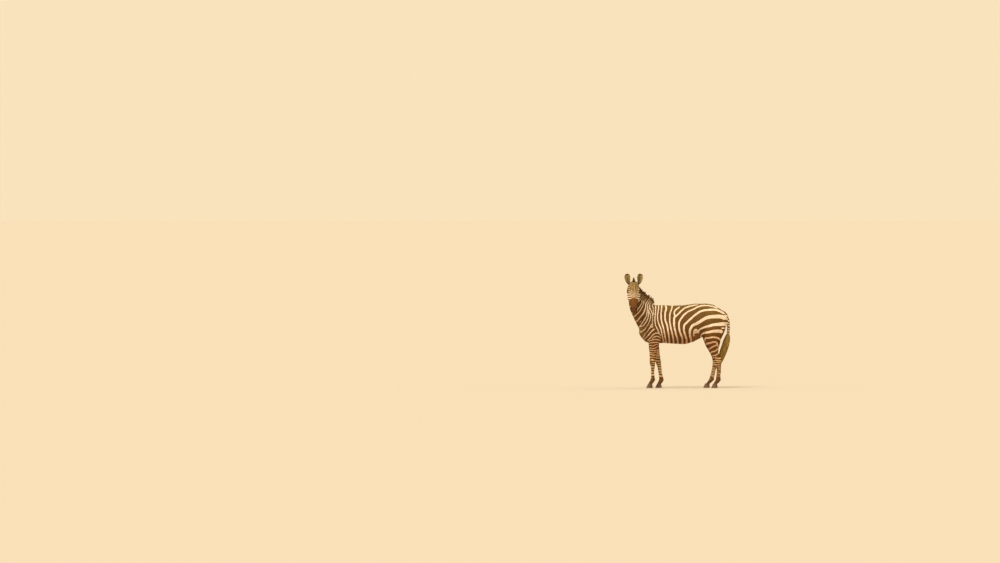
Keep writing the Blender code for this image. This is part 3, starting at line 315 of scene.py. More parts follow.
# Lines of the body, seen from the side: height, half width, the line's way (y, z).
CREASES = (
    (-0.0035, 0.016, ((-0.500, 1.240), (-0.590, 1.130), (-0.655, 1.000), (-0.680, 0.930))),
    (-0.0040, 0.018, ((-0.385, 1.200), (-0.385, 1.060), (-0.370, 0.930), (-0.385, 0.830))),
    (-0.0040, 0.008, ((-0.385, 0.810), (-0.425, 0.770), (-0.465, 0.758))),
    (-0.0045, 0.014, ((-0.690, 1.020), (-0.742, 1.150), (-0.800, 1.280), (-0.830, 1.370))),
    (0.0030, 0.012, ((-0.665, 1.060), (-0.712, 1.180), (-0.765, 1.300))),
    (-0.0040, 0.013, ((0.500, 1.170), (0.548, 1.040), (0.540, 0.900), (0.505, 0.780))),
    (0.0045, 0.014, ((0.175, 0.930), (0.220, 0.860), (0.262, 0.800), (0.300, 0.760))),
    (-0.0030, 0.013, ((0.150, 0.880), (0.200, 0.810), (0.250, 0.755))),
    (-0.0028, 0.009, ((0.410, 0.700), (0.450, 0.600), (0.488, 0.500))),
    (-0.0026, 0.008, ((-0.495, 0.700), (-0.497, 0.600), (-0.500, 0.500))),
    (-0.0020, 0.010, ((-0.440, 1.060), (-0.500, 0.960), (-0.560, 0.880))),
)
# Bumps of the body on both sides: x, y, z; reach; height.
MUSCLES = (
    ((0.125, -0.470, 0.840), (0.080, 0.045, 0.060), 0.0050),     # triceps
    ((0.130, -0.412, 0.745), (0.060, 0.022, 0.030), 0.0050),     # point of the elbow
    ((0.120, -0.640, 0.960), (0.060, 0.040, 0.050), 0.0040),     # point of the shoulder
    ((0.030, -0.690, 0.900), (0.025, 0.060, 0.080), 0.0040),     # breast
    ((0.000, -0.680, 0.880), (0.012, 0.060, 0.100), -0.0080),    # furrow of the breast
    ((0.120, 0.260, 1.225), (0.040, 0.030, 0.030), 0.0050),      # point of the hip
    ((0.000, 0.540, 1.180), (0.016, 0.080, 0.060), -0.0030),     # furrow before the tail
    ((0.000, -0.100, 1.280), (0.020, 0.300, 0.040), 0.0030),     # spine
    ((0.150, 0.315, 0.800), (0.050, 0.030, 0.035), 0.0040),      # knee cap
    ((0.110, 0.550, 0.448), (0.030, 0.016, 0.020), 0.0030),      # point of the hock
    ((0.000, 0.100, 0.690), (0.020, 0.250, 0.040), -0.0030),     # furrow of the belly
)


# ---- helpers ------------------------------------------------------------------------------------
def smoothstep(low, high, value):
    """0 below low, 1 above high, smooth between; low may be the larger one."""
    t = np.clip((value - low) / (high - low), 0.0, 1.0)
    return t * t * (3 - 2 * t)


def unit(vectors):
    """Vectors of length 1."""
    return vectors / np.maximum(np.linalg.norm(vectors, axis=-1, keepdims=True), 1e-12)


def spline(keys, values, at):
    """Smooth curve through the values at the rising keys, with no overshoot, read at `at`."""
    keys = np.asarray(keys, float)
    values = np.asarray(values, float).reshape(len(keys), -1)
    steps = np.diff(keys)
    slopes = np.diff(values, axis=0) / steps[:, None]
    tangents = np.zeros_like(values)
    tangents[0] = slopes[0]
    tangents[-1] = slopes[-1]
    same_way = slopes[:-1] * slopes[1:] > 0
    with np.errstate(divide="ignore", invalid="ignore"):
        harmonic = 2.0 / (1.0 / slopes[:-1] + 1.0 / slopes[1:])
    tangents[1:-1] = np.where(same_way, harmonic, 0.0)
    at = np.clip(np.asarray(at, float), keys[0], keys[-1])
    cell = np.clip(np.searchsorted(keys, at, side="right") - 1, 0, len(keys) - 2)
    step = steps[cell][:, None]
    t = ((at - keys[cell]) / steps[cell])[:, None]
    return ((2 * t**3 - 3 * t**2 + 1) * values[cell] + (t**3 - 2 * t**2 + t) * step * tangents[cell]
            + (3 * t**2 - 2 * t**3) * values[cell + 1] + (t**3 - t**2) * step * tangents[cell + 1])


def blend(first, second, share):
    """The first value where the share is 0, the second where it is 1; rows take one share each."""
    if np.ndim(share) == 1 and np.ndim(first) == 2:
        share = share[:, None]
    return first + share * (second - first)


def flattened(vectors, normals):
    """The vectors less what they have along the normals."""
    return vectors - normals * np.einsum("ij,ij->i", vectors, normals)[:, None]


def wobble(points, size, seed, octaves=5):
    """Smooth noise between about -1 and 1 whose features are `size` across."""
    draw = np.random.RandomState(seed)
    total = np.zeros(len(points))
    for _ in range(octaves):
        wave = unit(draw.normal(size=(1, 3)))[0] * (2 * math.pi / size) * draw.uniform(0.6, 1.5)
        total += np.sin(points @ wave + draw.uniform(0, 2 * math.pi))
    return total / math.sqrt(octaves)


def to_head(points):
    """Points in the head's own axes: along, aside, above."""
    return (points - HEAD_ORIGIN) @ HEAD_AXES.T


def from_head(local):
    """Points given in the head's own axes, in the body's."""
    return HEAD_ORIGIN + local @ HEAD_AXES


def mirrored(local, values):
    """The values for the head's left side, mirrored for the points on its right side."""
    side = np.where(local[:, 1:2] > 0, 1.0, -1.0)
    return np.array(values) * np.concatenate([np.ones_like(side), side, np.ones_like(side)], axis=1)


def vertex_array(mesh):
    """The mesh's vertices as rows."""
    points = np.empty(len(mesh.vertices) * 3)
    mesh.vertices.foreach_get("co", points)
    return points.reshape(-1, 3)


def normal_array(mesh):
    """The mesh's vertex normals as rows."""
    normals = np.empty(len(mesh.vertices) * 3)
    mesh.vertex_normals.foreach_get("vector", normals)
    return normals.reshape(-1, 3)


def edge_array(mesh):
    """The mesh's edges as pairs of vertices."""
    edges = np.empty(len(mesh.edges) * 2, dtype=np.int32)
    mesh.edges.foreach_get("vertices", edges)
    return edges.reshape(-1, 2)


def set_points(mesh, points):
    """Move the mesh's vertices."""
    mesh.vertices.foreach_set("co", points.ravel())
    mesh.update()


def neighbour_mean(points, edges, counts):
    """Mean of each vertex's neighbours."""
    total = np.empty_like(points)
    for axis in range(3):
        total[:, axis] = (np.bincount(edges[:, 0], points[edges[:, 1], axis], len(points))
                          + np.bincount(edges[:, 1], points[edges[:, 0], axis], len(points)))
    return total / counts[:, None]


def relax(points, edges, weight, rounds, shrink=0.50, swell=-0.53):
    """Smooth the facets away without losing volume; weight says how much, from 0 to 1."""
    counts = np.maximum(np.bincount(edges.ravel(), minlength=len(points)), 1).astype(float)
    for _ in range(rounds):
        for share in (shrink, swell):
            points = points + (weight * share)[:, None] * (neighbour_mean(points, edges, counts) - points)
    return points


def new_object(name, mesh):
    """An object for the mesh, in the scene."""
    obj = bpy.data.objects.new(name, mesh)
    bpy.context.scene.collection.objects.link(obj)
    return obj


def face_outwards(obj):
    """Turn the object's faces outwards."""
    bm = bmesh.new()
    bm.from_mesh(obj.data)
    bmesh.ops.recalc_face_normals(bm, faces=bm.faces)
    bm.to_mesh(obj.data)
    bm.free()


def applied(obj):
    """The object with its modifiers applied."""
    bpy.context.view_layer.update()
    graph = bpy.context.evaluated_depsgraph_get()
    mesh = bpy.data.meshes.new_from_object(obj.evaluated_get(graph))
    obj.modifiers.clear()
    old = obj.data
    obj.data = mesh
    bpy.data.meshes.remove(old)
    return obj


# ---- the neck's own coordinates ---------------------------------------------------------------
NECK_BLEND = 0.010            # how softly one cross-section of the neck gives way to the next
NECK_REACH = 0.12             # points farther than this from a section's middle fit it less well
NECK_SECTIONS = 121
FAR = 1e9
neck_keys = np.arange(len(NECK), dtype=float)
neck_at = np.linspace(0, len(NECK) - 1, NECK_SECTIONS)
neck_rows = spline(neck_keys, NECK, neck_at)
neck_crest = neck_rows[:, 0:3]
neck_throat = neck_rows[:, 3:6]
neck_middle = (neck_crest + neck_throat) / 2
neck_axis = unit(np.gradient(neck_middle, axis=0))
neck_up = unit(neck_crest - neck_throat)


def neck_cost(points, i):
    """Each point's offset from a cross-section of the neck, and how badly it fits that section."""
    offset = points - neck_middle[i]
    beyond = np.maximum(np.linalg.norm(offset, axis=1) - NECK_REACH, 0.0)
    return offset, np.abs(offset @ neck_axis[i]) + 0.15 * beyond


def neck_place(points):
    """How far along the neck each point is (0 shoulders, 6 poll), and its row of the neck's curve."""
    best = np.full(len(points), FAR)
    where = np.zeros(len(points), dtype=int)
    for i in range(len(neck_at)):
        cost = neck_cost(points, i)[1]
        closer = cost < best
        best[closer] = cost[closer]
        where[closer] = i
    return neck_at[where], where


def neck_unbent(points):
    """How far along the neck each point is, and its (y, z) once the neck's turn is taken out."""
    best = np.full(len(points), FAR)
    for i in range(len(neck_at)):
        best = np.minimum(best, neck_cost(points, i)[1])
    total = np.zeros(len(points))
    along = np.zeros(len(points))
    places = np.zeros((len(points), 2))
    for i in range(len(neck_at)):
        offset, cost = neck_cost(points, i)
        weight = np.exp((best - cost) / NECK_BLEND)
        total += weight
        along += weight * neck_at[i]
        places += weight[:, None] * (neck_middle[i] + (offset @ neck_up[i])[:, None] * neck_up[i])[:, 1:3]
    return along / total, places / total[:, None]


def head_share(points):
    """1 on the head, 0 on the neck and body."""
    side = (points - HEAD_CUT) @ HEAD_CUT_NORMAL
    return smoothstep(-0.012, 0.018, side) * smoothstep(1.05, 1.10, points[:, 2])


def neck_share(points):
    """1 on the neck, 0 from the shoulders back."""
    base = (points - np.array([0.0, -0.600, 1.105])) @ np.array([0.0, -0.89, 0.45])
    return smoothstep(-0.03, 0.09, base)


def tail_share(points):
    """1 on the dock of the tail."""
    x, y, z = points.T
    on_tail = smoothstep(0.031, 0.026, np.abs(x)) * smoothstep(0.625, 0.645, y) * smoothstep(0.83, 0.85, z)
    return on_tail * np.where(z > 1.10, smoothstep(1.145, 1.125, z), smoothstep(0.645, 0.655, y))


# ---- markings -----------------------------------------------------------------------------------
def stripe_field():
    """Signed distance past the edge of the nearest pale stripe, on a grid over (y, z)."""
    count = ((GRID_HIGH - GRID_LOW) / STRIPE_GRID).astype(int) + 1
    field = np.full(tuple(count), STRIPE_REACH)
    span = int(STRIPE_REACH / STRIPE_GRID)
    rows = GRID_LOW[0] + STRIPE_GRID * np.arange(count[0])
    columns = GRID_LOW[1] + STRIPE_GRID * np.arange(count[1])
    for start, end, way in PALE_STRIPES:
        way = np.array(way)
        reach = np.concatenate([[0.0], np.cumsum(np.linalg.norm(np.diff(way, axis=0), axis=1))])
        at = np.linspace(0, reach[-1], max(2, int(reach[-1] / STRIPE_GRID)))
        widths = start + (end - start) * at / reach[-1]
        line = spline(reach, way, at)
        widths *= np.interp(line[:, 0], STRIPE_SHARES[:, 0], STRIPE_SHARES[:, 1])
        widths = np.maximum(widths, STRIPE_LEAST)
        for (y, z), width in zip(line, widths):
            i, j = ((np.array([y, z]) - GRID_LOW) / STRIPE_GRID).astype(int)
            a, b = slice(max(i - span, 0), i + span), slice(max(j - span, 0), j + span)
            away = np.hypot(rows[a, None] - y, columns[None, b] - z) - width
            np.minimum(field[a, b], away, out=field[a, b])
    return field


stripe_grid = stripe_field()


def curve_stripes(places):
    """Distance in metres past the edge of the nearest pale stripe: negative inside it."""
    at = np.clip((places - GRID_LOW) / STRIPE_GRID, 0, np.array(stripe_grid.shape) - 1.001)
    cell = at.astype(int)
    s, t = (at - cell).T
    i, j = cell.T
    return ((stripe_grid[i, j] * (1 - s) + stripe_grid[i + 1, j] * s) * (1 - t)
            + (stripe_grid[i, j + 1] * (1 - s) + stripe_grid[i + 1, j + 1] * s) * t)


def waves(phase, width, dark):
    """Stripes from a phase in whole stripes: metres past the pale edge; dark is their share."""
    return (np.cos(2 * math.pi * phase) - math.cos(math.pi * dark)) * width / (2 * math.pi)


def leg_rings(points, normals):
    """The rings of the legs: positive where they are dark."""
    x, y, z = points.T
    front = y < 0
    outside = np.sign(x)
    slope = np.where(front, 0.06 * (y + 0.49), 0.10 * (y - 0.50) * smoothstep(0.28, 0.45, z))
    level = z + slope + 0.004 * wobble(points, 0.070, 21) + np.where(outside > 0, 0.0, 0.012)
    fore = spline(FORE_RINGS, np.arange(len(FORE_RINGS)), level)[:, 0]
    hind = spline(HIND_RINGS, np.arange(len(HIND_RINGS)), level)[:, 0]
    phase = np.where(front, fore, hind) + 0.07 * wobble(points, 0.045, 22)
    inner = smoothstep(0.1, 0.9, -normals[:, 0] * outside)
    return waves(phase, 0.026, 0.64) - 0.0016 * inner + 0.0008 * wobble(points, 0.09, 23)


def body_stripes(points, normals):
    """The stripes of neck, trunk and legs: positive where they are dark."""
    x, y, z = points.T
    far = smoothstep(0.0, 0.10, -x)
    places = points[:, 1:3].copy()
    on_neck = neck_share(points)
    near = on_neck > 0
    along_neck, unbent = neck_unbent(points[near])
    on_neck[near] *= smoothstep(2.5, 4.8, along_neck)
    places[near] = blend(places[near], unbent, on_neck[near])
    rear = smoothstep(0.40, 0.80, normals[:, 1]) * smoothstep(0.72, 0.80, z)
    places[:, 0] += rear * np.minimum(RUMP_END - places[:, 0], 0.0)
    places[:, 0] += 0.0012 * wobble(points, 0.080, 11) + 0.012 * far * wobble(points, 0.35, 12)
    places[:, 1] += 0.0012 * wobble(points, 0.080, 13) + 0.012 * far * wobble(points, 0.35, 14)
    stripes = curve_stripes(places)
    # over the loins the stripes end in short bars beside the line of the back
    level = smoothstep(0.80, 0.93, normals[:, 2]) * smoothstep(-0.22, -0.12, y) * (1 - on_neck)
    bars = waves((y + 0.55 * np.abs(x) + 0.006 * wobble(points, 0.12, 15)) / 0.052, 0.052, 0.72)
    stripes = blend(stripes, np.minimum(bars, 0.02), level * smoothstep(0.085, 0.055, np.abs(x)))
    low = np.where(y < 0, smoothstep(0.600, 0.570, z), smoothstep(0.520, 0.490, z))
    return blend(stripes, leg_rings(points, normals), low)


def tail_stripes(points):
    """Bands across the dock, broken into spots."""
    spots = 0.004 * wobble(points, 0.022, 32)
    return waves(points[:, 2] / 0.038 + 0.1 * wobble(points, 0.05, 31), 0.038, 0.5) + spots


def head_stripes(local, points):
    """The stripes of the face: lines down the forehead, bands over the cheeks."""
    along, aside, above = local.T
    across = np.abs(aside)
    spread = spline([-0.03, 0.02, 0.10, 0.17, 0.25, 0.33, 0.60],
                    [0.030, 0.045, 0.066, 0.070, 0.050, 0.030, 0.025], along)[:, 0]
    lines = waves(2.8 * across / spread + 0.17 * wobble(points, 0.045, 41) + 0.08 * wobble(points, 0.018, 43),
                  spread / 2.8, 0.54)
    slant = along - 0.62 * above + 0.05 * smoothstep(-0.08, -0.20, above)
    bands = waves((slant - 0.015) / 0.0420 + 0.09 * wobble(points, 0.065, 42), 0.042, 0.52)
    front = smoothstep(spread * 1.10, spread * 0.88, across) * smoothstep(-0.045, -0.02, above)
    return blend(bands, lines, front), front


def eye_reach(local):
    """Distance from the nearer eye's middle, and metres outside the opening of its lids."""
    offset = local - mirrored(local, EYE_PLACE)
    gaze = unit(mirrored(local, GAZE))
    slant = np.array([1.0, 0.0, LID_TILT])
    ahead = unit(slant - gaze * (gaze @ slant)[:, None])
    upward = np.cross(ahead, gaze)
    upward *= np.where(local[:, 1:2] > 0, 1.0, -1.0)
    out = np.einsum("ij,ij->i", offset, gaze)
    across = np.arctan2(np.einsum("ij,ij->i", offset, ahead), out)
    up = np.arctan2(np.einsum("ij,ij->i", offset, upward), out)
    share = np.clip(1 - (across / LID_HALF_WIDTH) ** 2, 0.0, 1.0)
    past = np.maximum(up - LID_UPPER * share ** 0.65, -LID_LOWER * share ** 0.85 - up)
    past = np.maximum(past, (np.abs(across) - LID_HALF_WIDTH) * 0.8) * EYE_RADIUS
    far = np.linalg.norm(offset, axis=1)
    return far, np.where(out > 0, past, 0.05), up, offset


def nostril_reach(local):
    """Share of the way from the middle of the nearer nostril to its rim; 1 on the rim."""
    along, aside, above = local.T
    d = np.stack([along, np.abs(aside), above], axis=1) - np.array(NOSTRIL_PLACE)
    slit = unit(np.array(NOSTRIL_WAY))
    out = unit(np.array(NOSTRIL_OUT) - slit * (np.array(NOSTRIL_OUT) @ slit))
    cross = np.cross(slit, out)
    run, wide, deep = d @ slit, d @ cross, d @ out
    bent = wide - 0.010 * (run / NOSTRIL_HALF_LENGTH) ** 2 + 0.003
    return np.sqrt((run / NOSTRIL_HALF_LENGTH) ** 2 + (bent / NOSTRIL_HALF_WIDTH) ** 2 + (deep / 0.045) ** 2)


def mouth_reach(local):
    """Height over the line of the lips, and 1 where there is a mouth, fading at its corner."""
    along, _, above = local.T
    line = spline([0.42, 0.46, 0.50, 0.53, 0.56], [-0.113, -0.106, -0.101, -0.097, -0.094], along)[:, 0]
    return above - line, smoothstep(0.448, 0.466, along)


def drawn_lines(stripes, points, normals, on_head):
    """The stripes with the dark lines of back, croup and belly, and pale insides of the legs."""
    x, y, z = points.T
    side = np.abs(x)
    behind_mane = smoothstep(-0.52, -0.48, y) * (1 - on_head) * smoothstep(0.60, 0.70, z)
    back = smoothstep(0.75, 0.90, normals[:, 2]) * behind_mane
    stripes = np.where(back > 0.5, np.maximum(stripes, BACK_LINE - side), stripes)
    croup = smoothstep(0.34, 0.52, y) * smoothstep(1.04, 1.08, z)
    stripes = np.where(croup > 0, np.maximum(stripes, CROUP_LINE * croup - side), stripes)
    belly = smoothstep(-0.80, -0.92, normals[:, 2]) * smoothstep(-0.50, -0.44, y) * smoothstep(0.62, 0.66, z)
    stripes = stripes - 0.006 * belly * smoothstep(0.12, 0.05, side)
    stripes = np.where(belly > 0.5, np.maximum(stripes, BELLY_LINE - side), stripes)
    inward = smoothstep(0.15, 0.85, -normals[:, 0] * np.sign(x))
    inner = inward * smoothstep(0.44, 0.66, z) * smoothstep(0.96, 0.84, z)
    inner *= smoothstep(0.20, 0.30, np.abs(y - 0.02)) * smoothstep(0.20, 0.12, side)
    return stripes - 0.009 * inner


def body_colours(points, normals, on_head):
    """Pale and deep colours of neck, trunk and legs, and 1 on the dark pasterns."""
    _, y, z = points.T
    height = smoothstep(0.65, 1.28, z)
    # the pale hair darkens and warms towards the ground: partly dust, partly painted shade
    pale = blend(CREAM_LOW_DUST_AND_SHADE, CREAM, smoothstep(0.70, 0.98, z)[:, None])
    # the deep hair lightens on upward faces and higher up: partly sun-bleached hair, partly painted light
    top = smoothstep(0.15, 0.95, normals[:, 2]) * height
    olive = (0.30 + 0.40 * smoothstep(-0.1, 0.35, y)) * height
    deep = blend(BROWN, BROWN_TOP_BLEACHED_AND_LIT, np.maximum(top, olive)[:, None])
    flank = np.exp(-((y - 0.165) / 0.070) ** 2 - ((z - 0.795) / 0.070) ** 2)
    deep = blend(deep, FLANK_TAN, 0.85 * flank)
    breast = smoothstep(-0.60, -0.68, y) * smoothstep(1.00, 0.90, z) * smoothstep(0.68, 0.76, z)
    deep = blend(deep, BREAST_TAN, 0.6 * breast)
    pale = blend(pale, LEG_CREAM, smoothstep(0.66, 0.40, z))
    pastern = smoothstep(0.165, 0.115, z + 0.01 * wobble(points, 0.05, 51))
    deep = blend(deep, PASTERN_BROWN, pastern)
    throat = y - np.interp(z, THROAT_LINE[:, 1], THROAT_LINE[:, 0])
    throat = 0.75 * smoothstep(0.150, 0.040, throat) * (1 - on_head) * smoothstep(0.92, 1.02, z)
    return blend(pale, THROAT_TAN, throat), deep, pastern


def head_colours(pale, deep, points, local, on_head, forehead):
    """The colours with the head's tints laid over them, and 1 on the dark muzzle."""
    along, aside, above = local.T
    brow = np.maximum(forehead * smoothstep(0.30, 0.17, along),
                      0.9 * smoothstep(0.175, 0.125, along) * smoothstep(-0.115, -0.060, above))
    brow *= on_head
    pale, deep = blend(pale, FOREHEAD_TAN, brow), blend(deep, FOREHEAD_DARK, brow)
    blaze = on_head * forehead * smoothstep(0.15, 0.26, along) * smoothstep(0.37, 0.33, along)
    pale, deep = blend(pale, BLAZE_PALE, blaze), blend(deep, BLAZE_TAN, blaze)
    edge = along + 0.16 * above + 0.10 * np.maximum(np.abs(aside) - 0.03, 0.0)
    edge += 0.004 * wobble(points, 0.04, 52)
    muzzle = on_head * smoothstep(0.312, 0.342, edge)
    muzzle_brown = blend(MUZZLE_BROWN, MUZZLE_DARK, smoothstep(0.40, 0.50, edge)[:, None])
    deep = blend(deep, muzzle_brown, muzzle)
    chin = on_head * smoothstep(0.46, 0.52, along) * smoothstep(-0.11, -0.13, above)
    return pale, blend(deep, CHIN_BROWN, 0.35 * chin), muzzle


def markings(points, normals):
    """For points on the skin: stripe edge distance, pale colour and deep colour."""
    local = to_head(points)
    on_head = head_share(points)
    stripes = drawn_lines(body_stripes(points, normals), points, normals, on_head)
    stripes = blend(stripes, tail_stripes(points), tail_share(points))
    face, forehead = head_stripes(local, points)
    stripes = blend(stripes, face, on_head)
    pale, deep, pastern = body_colours(points, normals, on_head)
    pale, deep, muzzle = head_colours(pale, deep, points, local, on_head, forehead)
    stripes += 0.03 * pastern + 0.04 * muzzle

    # bare dark skin of lids, nostrils and lips, and dark hair round the eyes
    far, past, _, _ = eye_reach(local)
    past = past + 0.9 * np.maximum(far - 0.0235, 0.0)
    lids = on_head * smoothstep(0.0060, 0.0030, past) * smoothstep(0.032, 0.026, far)
    nostril = on_head * smoothstep(1.35, 0.95, nostril_reach(local))
    over, mouth = mouth_reach(local)
    lips = on_head * mouth * smoothstep(0.0035, 0.0012, np.abs(over))
    stripes += 0.03 * on_head * smoothstep(0.024, 0.012, past + 0.004 * wobble(points, 0.02, 53))
    bare = np.clip(lids + nostril + lips, 0, 1)
    stripes += 0.04 * smoothstep(0.0, 0.3, bare)
    return stripes, pale, blend(deep, BARE_SKIN, bare)


# ---- skin ---------------------------------------------------------------------------------------
def flesh_mesh(names, push):
    """The CAD nodes as one mesh in the body's own axes, pushed out to close the cuts."""
    bm = bmesh.new()
    for name in names:
        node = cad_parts[name]
        mesh = node.data.copy()
        mesh.transform(node.matrix_world)
        points = vertex_array(mesh) + normal_array(mesh) * push
        set_points(mesh, points - BODY_SHIFT)
        bm.from_mesh(mesh)
        bpy.data.meshes.remove(mesh)
    joined = bpy.data.meshes.new("skin")
    bm.to_mesh(joined)
    bm.free()
    return joined


def refine(mesh, chosen):
    """Halve the faces whose points are all chosen."""
    bm = bmesh.new()
    bm.from_mesh(mesh)
    bm.verts.ensure_lookup_table()
    edges = [edge for edge in bm.edges if chosen[edge.verts[0].index] and chosen[edge.verts[1].index]]
    bmesh.ops.subdivide_edges(bm, edges=edges, cuts=1, use_grid_fill=True)
    bm.to_mesh(mesh)
    bm.free()
    mesh.update()


def line_reach(places, way):
    """Distance of each place from the line through the points of the way."""
    way = np.array(way, float)
    best = np.full(len(places), FAR)
    for start, end in zip(way[:-1], way[1:]):
        step = end - start
        share = np.clip((places - start) @ step / (step @ step), 0.0, 1.0)
        best = np.minimum(best, np.linalg.norm(places - start - share[:, None] * step, axis=1))
    return best


def leg_relief(points, sideways):
    """The groove between cannon bone and sinews, the heel, the ergot and the rim over the hoof."""
    x, y, z = points.T
    relief = np.zeros(len(points))
    levels = np.arange(0.05, 0.48, 0.01)
    for fore, ends in ((True, (0.375, 0.33)), (False, (0.43, 0.37))):
        for left in (True, False):
            leg = ((y < 0) == fore) & ((x > 0) == left) & (z < 0.50) & (z > 0.02)
            rows = [y[leg & (np.abs(z - level) < 0.010)] for level in levels]
            front = np.interp(z, levels, [row.min() for row in rows])
            back = np.interp(z, levels, [row.max() for row in rows])
            share = (y - front) / (back - front)
            groove = 0.0016 * np.exp(-((share - 0.80) / 0.13) ** 2)
            groove -= 0.0034 * np.exp(-((share - 0.56) / 0.10) ** 2)
            groove *= smoothstep(0.150, 0.185, z) * smoothstep(*ends, z) * sideways
            heel = -0.0035 * np.exp(-((z - 0.070) / 0.010) ** 2) * smoothstep(0.55, 0.95, share)
            ergot = 0.0040 * np.exp(-((z - 0.128) / 0.010) ** 2) * smoothstep(0.80, 1.0, share)
            coronet = 0.0016 * np.exp(-((z - 0.066 + 0.026 * share) / 0.006) ** 2)
            relief += leg * (groove + heel + ergot + coronet)
    return relief


def body_relief(points, normals):
    """How far muscles, folds and sinews stand out from the smooth body, along its normals."""
    x, y, z = points.T
    side = np.abs(x)
    sideways = smoothstep(0.25, 0.75, np.abs(normals[:, 0]))
    outside = smoothstep(0.0, 0.5, normals[:, 0] * np.sign(x))
    relief = np.zeros(len(points))
    flat = np.stack([y, z], axis=1)
    for height, width, way in CREASES:
        relief += height * np.exp(-(line_reach(flat, way) / width) ** 2) * outside
    for (px, py, pz), (rx, ry, rz), height in MUSCLES:
        away = ((side - px) / rx) ** 2 + ((y - py) / ry) ** 2 + ((z - pz) / rz) ** 2
        relief += height * np.exp(-1.5 * away)
    ribs = smoothstep(-0.38, -0.30, y) * smoothstep(0.12, 0.0, y)
    ribs *= smoothstep(0.78, 0.86, z) * smoothstep(1.20, 1.08, z)
    relief += 0.0009 * ribs * sideways * np.cos(2 * math.pi * (y + 0.18 * (z - 1.0)) / 0.046)
    relief += 0.0012 * wobble(points, 0.16, 61) * smoothstep(0.70, 0.80, z)
    relief += leg_relief(points, sideways)
    return relief * (1 - head_share(points))


def shape_head(points, normals):
    """Sockets, lids, nostrils, lips and bones of the head."""
    local = to_head(points)
    along, aside, above = local.T
    on_head = head_share(points)
    across = np.abs(aside)
    relief = np.zeros(len(points))
    for (pl, ps, pa), (rl, rs, ra), height in HEAD_BUMPS:
        away = ((along - pl) / rl) ** 2 + ((across - ps) / rs) ** 2 + ((above - pa) / ra) ** 2
        relief += height * np.exp(-1.5 * away)
    flat = np.stack([along, above], axis=1)
    sideways = smoothstep(0.25, 0.8, across / 0.06)
    for height, width, way in HEAD_CREASES:
        relief += height * np.exp(-(line_reach(flat, way) / width) ** 2) * sideways
    over, mouth = mouth_reach(local)
    relief += mouth * (0.0014 * np.exp(-((np.abs(over) - 0.0075) / 0.005) ** 2)
                       - 0.0046 * np.exp(-(over / 0.0018) ** 2))
    points = points + (on_head * relief)[:, None] * normals

    # nostrils: a deep slit with a raised rim
    local = to_head(points)
    reach = nostril_reach(local)
    pit = -0.0135 * smoothstep(1.0, 0.35, reach) + 0.0026 * np.exp(-((reach - 1.25) / 0.30) ** 2)
    out = unit(mirrored(local, NOSTRIL_OUT)) @ HEAD_AXES
    points = points + (on_head * pit)[:, None] * out

    # lids: a thick rim on the eyeball, a fold above it, and the skin behind the ball in between
    local = to_head(points)
    far, past, up, offset = eye_reach(local)
    rim = EYE_RADIUS + LID_THICKNESS + 0.0010 * np.exp(-((past - 0.0025) / 0.0015) ** 2)
    inside = EYE_RADIUS + LID_THICKNESS - 0.0055 * smoothstep(0.0, -0.0022, past)
    shell = np.where(past < 0, inside, rim)
    fold = -0.0016 * np.exp(-((past - 0.0085) / 0.0020) ** 2) * smoothstep(-0.3, 0.2, up)
    fold += 0.0012 * np.exp(-((past - 0.0125) / 0.0025) ** 2) * smoothstep(-0.3, 0.2, up)
    free = smoothstep(0.0035, 0.0150, past)
    wanted = shell * (1 - free) + np.maximum(far, EYE_RADIUS + 0.0006) * free + fold
    near = smoothstep(0.046, 0.038, far) * on_head * (past < 0.049)
    scale = 1 + near * (wanted / np.maximum(far, 1e-6) - 1)
    moved = offset * scale[:, None] + (local - offset)
    return np.where(near[:, None] > 0, from_head(moved), points)


# Rounds of smoothing: of trunk and neck, of everything, of the point of the breast and of the head.
TRUNK_ROUNDS = 60
ALL_ROUNDS = 10
BREAST_ROUNDS = 60
HEAD_ROUNDS = 5
EYE_REGION = 0.046            # the skin is finest this near to an eye
NOSE_REGION = 0.440           # and from here along the head


def lower_legs(points):
    """1 on the lower legs, 0 above them."""
    return smoothstep(0.62, 0.40, points[:, 2])


def build_body():
    """The skin of body, legs and head, in the body's own axes."""
    names = [name for name in FLESH_NODES if name not in EAR_NODES]
    body = new_object("skin", flesh_mesh([*names, *EYE_NODES], JOIN_PUSH))
    remesh = body.modifiers.new("grain", "REMESH")
    remesh.mode = "VOXEL"
    remesh.voxel_size = SKIN_VOXEL
    applied(body)
    mesh = body.data
    points = vertex_array(mesh)
    edges = edge_array(mesh)
    on_head = head_share(points)
    fine = np.maximum(on_head, np.maximum(lower_legs(points), tail_share(points)))
    points = relax(points, edges, 1 - fine, TRUNK_ROUNDS)
    points = relax(points, edges, np.ones(len(points)), ALL_ROUNDS)
    breast = smoothstep(-0.61, -0.67, points[:, 1]) * smoothstep(1.02, 0.94, points[:, 2])
    points = relax(points, edges, breast * (1 - on_head), BREAST_ROUNDS, swell=0.0)
    set_points(mesh, points)
    refine(mesh, on_head > 0.02)
    points = vertex_array(mesh)
    local = to_head(points)
    nose = (local[:, 0] > NOSE_REGION) & (head_share(points) > 0.5)
    refine(mesh, (eye_reach(local)[0] < EYE_REGION) | nose)
    points = vertex_array(mesh)
    on_head = head_share(points)
    points = relax(points, edge_array(mesh), on_head, HEAD_ROUNDS)
    set_points(mesh, points)
    depth = JOIN_PUSH + blend(COAT_DEPTH, FACE_COAT_DEPTH, np.maximum(on_head, lower_legs(points)))
    normals = normal_array(mesh)
    points = points - normals * depth[:, None]
    points = points + normals * body_relief(points, normals)[:, None]
    set_points(mesh, points)
    points = shape_head(points, normal_array(mesh))
    set_points(mesh, points)
    return body


